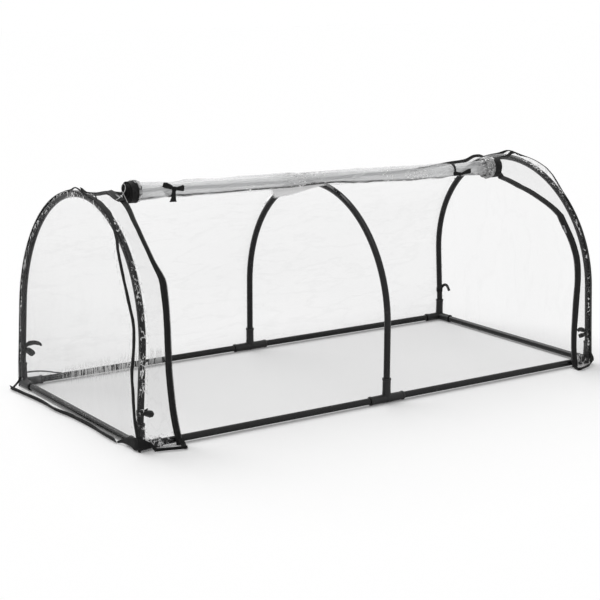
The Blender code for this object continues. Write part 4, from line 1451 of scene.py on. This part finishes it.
# how far above that height each sits, and its free ends: path and widths as in the bows
legTies = {
    ("back", "left"): {"lift": 0.01, "parts": [
        ([(6, 4, 0), (20, 20, 4), (42, 26, 4), (62, 22, 0), (70, 14, 0)],
         [(0, 0.009), (0.4, 0.018), (0.8, 0.014), (1, 0.006)]),
        ([(6, -3, 2), (22, -4, 6), (36, -14, 3), (42, -20, 0)],
         [(0, 0.01), (0.35, 0.024), (0.8, 0.024), (1, 0.012)]),
    ]},
    # this tie's tape is painted lighter than the others', standing in for the light the film in front of it
    # reflects
    ("front", "left"): {"lift": -0.004, "shade": 0.028, "parts": [
        ([(6, -3, 0), (18, -1, 4), (32, -3, 3), (43, -8, 0)],
         [(0, 0.006), (0.35, 0.02), (0.75, 0.024), (1, 0.009)]),
        ([(10, 3, 1), (18, 9, 3), (25, 14, 2)],
         [(0, 0.006), (0.5, 0.007), (1, 0.004)]),
    ]},
    ("back", "right"): {"lift": 0.004, "parts": [
        ([(4, -4, 0), (10, 12, 3), (22, 21, 3), (33, 16, 2), (43, -6, 0)],
         [(0, 0.013), (0.5, 0.012), (1, 0.011)]),
    ]},
    ("front", "right"): {"lift": -0.007, "parts": [
        ([(-6, 0, 0), (-18, 10, 4), (-32, 14, 2), (-40, 6, 0)],
         [(0, 0.008), (0.5, 0.018), (1, 0.012)]),
        ([(-6, -3, 1), (-20, -8, 4), (-36, -14, 0)],
         [(0, 0.008), (0.6, 0.018), (1, 0.014)]),
    ]},
}


def makeLegTie(where, front, hand, side, lay):
    # a ribbon knotted round the leg, its ends standing off
    height = tunnel["baseZ"] + legTieMake["height"] + lay["lift"]
    centre = Vector((hoopX(side, height), front * tunnel["hoopRadius"], height))
    reach = tunnel["tube"] + 0.0012
    label = "_%s_%s" % (where, hand)
    tape = wovenTape("ribbonLeg" + label, 0.012, 0.2, lay.get("shade", legTieMake["shade"]))
    ring = []
    for k in range(legTieMake["turnSteps"] + 1):
        turn = 2 * pi * k / legTieMake["turnSteps"]
        rise = 0.004 * sin(turn + 0.6)
        ring.append(centre + Vector((cos(turn) * reach, sin(turn) * reach, rise)))
    band = ribbon("legTie" + label, ring, [(0, legTieMake["width"])], lambda v: rollFace["up"])
    parts = [band]
    start = centre + face["out"] * (tunnel["tube"] * 0.35 + 0.001)
    for index, (points, widths) in enumerate(lay["parts"]):
        name = "legTieEnd%d" % index + label
        parts.append(faceRibbon(name, start, points, widths, legTieMake["thick"]))
    for part in parts:
        wear(part, tape, "frame", "fabric")
    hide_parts("leg_tie" + label)


print("stage: bows and ties")
for hand in bows:
    makeBow(hand)
for (where, hand), lay in legTies.items():
    makeLegTie(where, dict(faces)[where], hand, dict(hands)[hand], lay)


skirtMake = {"foot": 0.0006, "lowest": 0.0008, "swell": 0.0035, "hemThick": 0.0011, "folded": 0.06}

# stand and wide: how steeply the hem's tape stands up, and its width in metres; foot: the line where the
# skirt folds, and hem: its free edge on the ground from one end to the other, both in millimetres
skirts = {
    "backSkirt": {
        "body": "back_flap", "node": "back", "stand": 0.2, "wide": 0.01, "haze": 0.2,
        "foot": [(-970, 479), (970, 479)],
        "hem": [
            (-970, 505, 36), (-930, 512, 33), (-880, 516, 25), (-820, 519, 9), (-750, 520, 2),
            (-400, 518, 1), (-100, 520, 1), (300, 517.5, 2), (700, 520, 1), (970, 516.5, 2),
        ],
    },
    "leftEndSkirt": {
        "body": "left_end_flap", "node": "left_end", "stand": 0.75, "wide": 0.02, "haze": 0.45,
        "foot": [(-1018.3, -352), (-1018.3, 432)],
        "hem": [
            (-1029, -350, 1), (-1027, -265, 1), (-1024, -160, 1), (-1025, -60, 1), (-1029, 11, 1),
            (-1038.5, 99, 1), (-1038, 170, 1), (-1040.5, 236, 1), (-1046, 321, 1), (-1051.5, 386, 1),
            (-1058, 436, 1),
        ],
    },
    "rightEndSkirt": {
        "body": "right_end_flap", "node": "right_end", "stand": 0.3, "wide": 0.01, "haze": 0.2,
        "foot": [(1018.3, -350), (1018.3, 430)],
        "hem": [
            (1040, -350, 1), (1043, -220, 1), (1039, -50, 1), (1042, 120, 1), (1038, 300, 1),
            (1042, 430, 1),
        ],
    },
    "frontLeftSkirt": {
        "body": "front_left_flap", "node": "front_left", "stand": 0.75, "wide": 0.0135, "haze": 0.55,
        "foot": [(-955, -479), (-861, -479)],
        "hem": [
            (-963, -498.5, 1), (-938, -505, 1), (-914, -512, 1), (-890, -520, 1), (-866, -526.5, 1),
        ],
    },
    "frontRightSkirt": {
        "body": "front_right_flap", "node": "front_right", "stand": 0.75, "wide": 0.014, "haze": 0.55,
        "foot": [(884, -479), (976, -479)],
        "hem": [
            (890, -521.5, 1), (896, -525.5, 1), (910, -523.5, 1), (934, -515, 1), (958, -507.5, 1),
            (976, -500, 1),
        ],
    },
}


def makeSkirt(name, lay):
    # film on the ground from the fold to the hem, and a tape along the free edge
    foot = [Vector((x, y, skirtMake["foot"])) for x, y in metres(lay["foot"])]
    hemAt, total = alongPath(vectors(lay["hem"]))
    rows = max(10, int(total / 0.01))

    def bothEdges(v):
        edge = hemAt(v)
        edge.z = max(edge.z, skirtMake["lowest"])
        return foot[0].lerp(foot[1], v), edge

    def place(u, v):
        fold, edge = bothEdges(v)
        point = fold.lerp(edge, u)
        wave = 0.5 + rough(v * total * 11.0, u, len(name))
        point.z += skirtMake["swell"] * sin(pi * u) * wave
        return point

    film = gridPiece(name + "Film", 8, rows, place)
    faceAway(film, farBelow)
    # painted glints over the whole skirt
    press(film, lambda p: 0.45)
    # the skirts' film is painted near-white, lighter than the other panels, for the light on it
    look = clearFilm("film_" + name, lay["haze"], (0.93, 0.93, 0.93), crinkleGlint=0.1)
    wear(film, look, lay["body"], "film", lay["node"] + "_skirt")

    def hemPlace(u, v):
        fold, edge = bothEdges(v)
        way = edge - fold
        way.z = 0
        stand = 1.5 * lay["stand"] * (1 + 0.2 * rough(v * total * 8.0, 5.0, len(name)))
        lean = way.normalized() * cos(stand) + Vector((0, 0, sin(stand)))
        return edge + lean * lay["wide"] * u

    hem = gridPiece(name + "Hem", 3, rows, hemPlace, skirtMake["hemThick"])
    tape = wovenTape("tape_" + name, lay["wide"], total)
    wear(hem, tape, lay["body"], "fabric", lay["node"] + "_hem")
    for soft in (film, hem):
        # each keeps a mesh of its own
        lay["body"] + "_fold"
        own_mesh(soft)
    width = sum((hemAt(k / 10) - foot[0].lerp(foot[1], k / 10)).length for k in range(11)) / 11


# loose lengths of tape: path in millimetres, widths in metres, the width's direction, and where a tape
# bends between the frame and a skirt
looseTapes = {
    # where the hems leave the ground at the corners
    "cornerTapeBackLeft": (
        [(-1060, 438, 3), (-1045, 440, 12), (-1029, 436, 30), (-1022.5, 432, 46)],
        [(0, 0.01), (1, 0.009)], [face["right"]],
        ("frame", "left_end_flap", (-1.024, 0.434, 0.034), (-1.047, 0.44, 0.01)),
    ),
    "cornerTapeFrontLeft": (
        [(-979, -486.5, 26), (-967, -489.5, 12), (-962, -499, 4)],
        [(0, 0.01), (1, 0.013)], [(0.8, 0, 0.6)],
        ("frame", "front_left_flap", (-0.977, -0.487, 0.023), (-0.962, -0.499, 0.004)),
    ),
    # the folded end of the zip tape beside the rolled door, and a loose tab of the ridge tape
    "zipTopFold": (
        [(-884, -50, 790), (-890, -86, 785.5), (-893, -122, 778), (-889, -152, 768)],
        [(0, 0.022), (0.35, 0.034), (0.75, 0.036), (1, 0.026)], [(0.97, 0.18, 0.1)], "frame",
    ),
    "ridgeTab": (
        [(-951, -61, 789.5), (-957, -90, 786), (-966, -121, 778.5)],
        [(0, 0.006), (1, 0.004)], [(1, 0, 0)], "frame",
    ),
    "cornerTapeZipFoot": (
        [(-864, -477.5, 22), (-860, -490, 8), (-866, -512, 3.5), (-869, -528, 3.5)],
        [(0, 0.02), (0.5, 0.018), (1, 0.014)], [(0.98, 0.0, 0.2)],
        ("frame", "front_left_flap", (-0.862, -0.48, 0.019), (-0.862, -0.496, 0.006)),
    ),
    "cornerTapeFrontRight": (
        [(903, -479, 30), (904, -486, 16), (901, -502, 6), (896, -523, 5)],
        [(0, 0.018), (0.5, 0.016), (1, 0.013)], [(0.98, 0.0, 0.2)],
        ("frame", "front_right_flap", (0.903, -0.481, 0.024), (0.902, -0.498, 0.008)),
    ),
    # this one turns over on its way up
    "cornerTapeEndRight": (
        [(974, -502, 6), (988, -500, 14), (994, -497, 30), (990, -490, 50)],
        [(0, 0.013), (0.4, 0.015), (1, 0.01)], [(0.75, 0.0, 0.65), (1, 0, 0)],
        ("frame", "front_right_flap", (0.992, -0.494, 0.038), (0.976, -0.502, 0.007)),
    ),
}


looseMake = {"thick": 0.0012, "tape": (0.013, 0.2), "turnsAt": 0.4}


def makeLooseTape(name, points, widths, sideWays, body):
    def sideWay(v):
        return Vector(sideWays[0] if v < looseMake["turnsAt"] else sideWays[-1])

    piece = ribbon(name, vectors(points), widths, sideWay, looseMake["thick"])
    wear(piece, wovenTape("tape_" + name, *looseMake["tape"]), body, "fabric")


# its two edges, in millimetres
cornerFold = {
    "top": [
        (-1026, -345, 6), (-1022.5, -383, 23.5), (-1022.5, -426, 41), (-1021.5, -466, 49),
        (-1004, -484.5, 45.5), (-982, -485, 32), (-969, -487, 23.5),
    ],
    "bottom": [
        (-1026.5, -350, 1), (-1023.5, -391, 10.5), (-1023.5, -440, 11.5), (-1021.5, -462, 5),
        (-1012, -484.5, 12.5), (-990, -486, 11.5), (-974, -488, 15.5),
    ],
}


def makeCornerFold():
    # black tape folded on the ground round the front left corner
    topAt, bottomAt = (alongPath(vectors(cornerFold[k]))[0] for k in ("top", "bottom"))

    def place(u, v):
        point = topAt(v).lerp(bottomAt(v), u)
        crease = 0.0015 * sin(v * 17 + u * 4) * sin(pi * u)
        return point + Vector((-0.6, -0.8, 0.0)) * crease

    piece = gridPiece("cornerFold", 10, 60, place, looseMake["thick"])
    wear(piece, wovenTape("tapeCorner", 0.03, 0.16), "frame", "fabric", "front_left_corner_flap")


hangingFold = {
    "left": -0.292, "right": -0.04, "flat": (0.036, 0.25), "cloth": 0.006,
    "drop": [(0.0, 0.034), (0.37, 0.0235), (0.68, 0.013), (0.92, 0.008), (1.0, 0.006)],
}


def makeHangingFold():
    # a loose fold of the door's film under the roll before the middle hoop, painted near-white and faintly
    # glowing for the reflection it shows
    low, high = hangingFold["left"], hangingFold["right"]

    def place(u, v):
        x = mix(low, high, v)
        point = rollAxis(x) + Vector((0, -0.004, -along(roll["thick"], x) * 0.97))
        point += Vector((0, -0.72, -1.0)) * along(hangingFold["drop"], v) * u
        return point + Vector((0, -0.6, 0.7)) * rough(x * 34.0, u * 2.0, 8.0) * 0.0025 * u

    def reflectionMask(p):
        # clear again toward its free edges
        v = (p.x - low) / (high - low)
        top = rollAxis(p.x).z - along(roll["thick"], p.x) * 0.97
        u = (top - p.z) / along(hangingFold["drop"], v)
        return ease((1 - u) * 5) * ease(v * 12) * ease((1 - v) * 12)

    piece = gridPiece("hangingFold", 14, 60, place)
    press(piece, reflectionMask)
    material, wire, shader = newMaterial("filmFoldReflection")
    solid = pointValue(wire, "press")
    folds = noiseOn(wire, objectCoords(wire), 38.0, 4, (0.6, 1.0, 1.6))
    tone = shadeBetween(wire, (0.9, 0.9, 0.9), (0.98, 0.98, 0.98), folds.above(0.35, 0.65))
    # painted reflection: a near-white colour and a faint glow, though the fold is no lamp
    feed(
        shader, wire, Base_Color=tone, Roughness=0.35 + folds * 0.2, Alpha=(solid * 1.2).least(0.985),
        Emission_Color=(1.0, 1.0, 1.0, 1.0), Emission_Strength=0.1,
        Normal=bump(wire, folds, 0.2, 0.001),
    )
    wear(piece, material, "frame", "film")


# the pull's wire: its crossing, where it lies once tipped over, and its path as it hangs, right and up
# from the crossing in millimetres
pullWire = {
    "crossing": (-0.888, -0.164, 0.793), "radius": 0.0008, "lies": (-0.888, -0.164, 0.788),
    "path": [
        (-25.5, -19.3), (-13.3, -12.7), (-3.3, -1.7), (5.6, 15), (4.2, 28.9), (-2.1, 34.3), (-7.4, 24.6),
        (-6.4, 11.6), (0.3, -1.7), (7, -15), (13.7, -28.2),
    ],
}


def makePullWire():
    # the pull's bent wire: a narrow loop whose two ends cross below it
    crossing = Vector(pullWire["crossing"])
    sway = [(a, b, 0.0015 * sin(b * 90)) for a, b in metres(pullWire["path"])]
    at = alongPath([onPlane(face, crossing, *point) for point in sway])[0]

    def place(u, v):
        here = at(v)
        run = (at(min(v + 0.01, 1.0)) - at(max(v - 0.01, 0.0))).normalized()
        beside = run.cross(face["out"]).normalized()
        lift = beside.cross(run)
        turn = u * 2 * pi
        return here + (beside * cos(turn) + lift * sin(turn)) * pullWire["radius"]

    piece = gridPiece("leftPullWire", 8, 120, place)
    tidyNormals(piece)
    wear(piece, flecked("brightWire", 300, 3, (0.45,) * 3, (0.75,) * 3, 0.22, 0.6), "left_pull", "zip")
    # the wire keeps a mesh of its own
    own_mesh(piece)


print("stage: skirts and folds")
for name, lay in skirts.items():
    makeSkirt(name, lay)
for name, lay in looseTapes.items():
    makeLooseTape(name, *lay)
makeCornerFold()
makeHangingFold()
makePullWire()


# the zip sliders and pulls keep their shape, with a metal finish
for hand, side in hands:
    for part in ("slider", "pull"):
        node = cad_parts["%s_zip_%s" % (hand, part)]
        node.data.materials.clear()
        node.data.materials.append(finishes["zipMetal"])
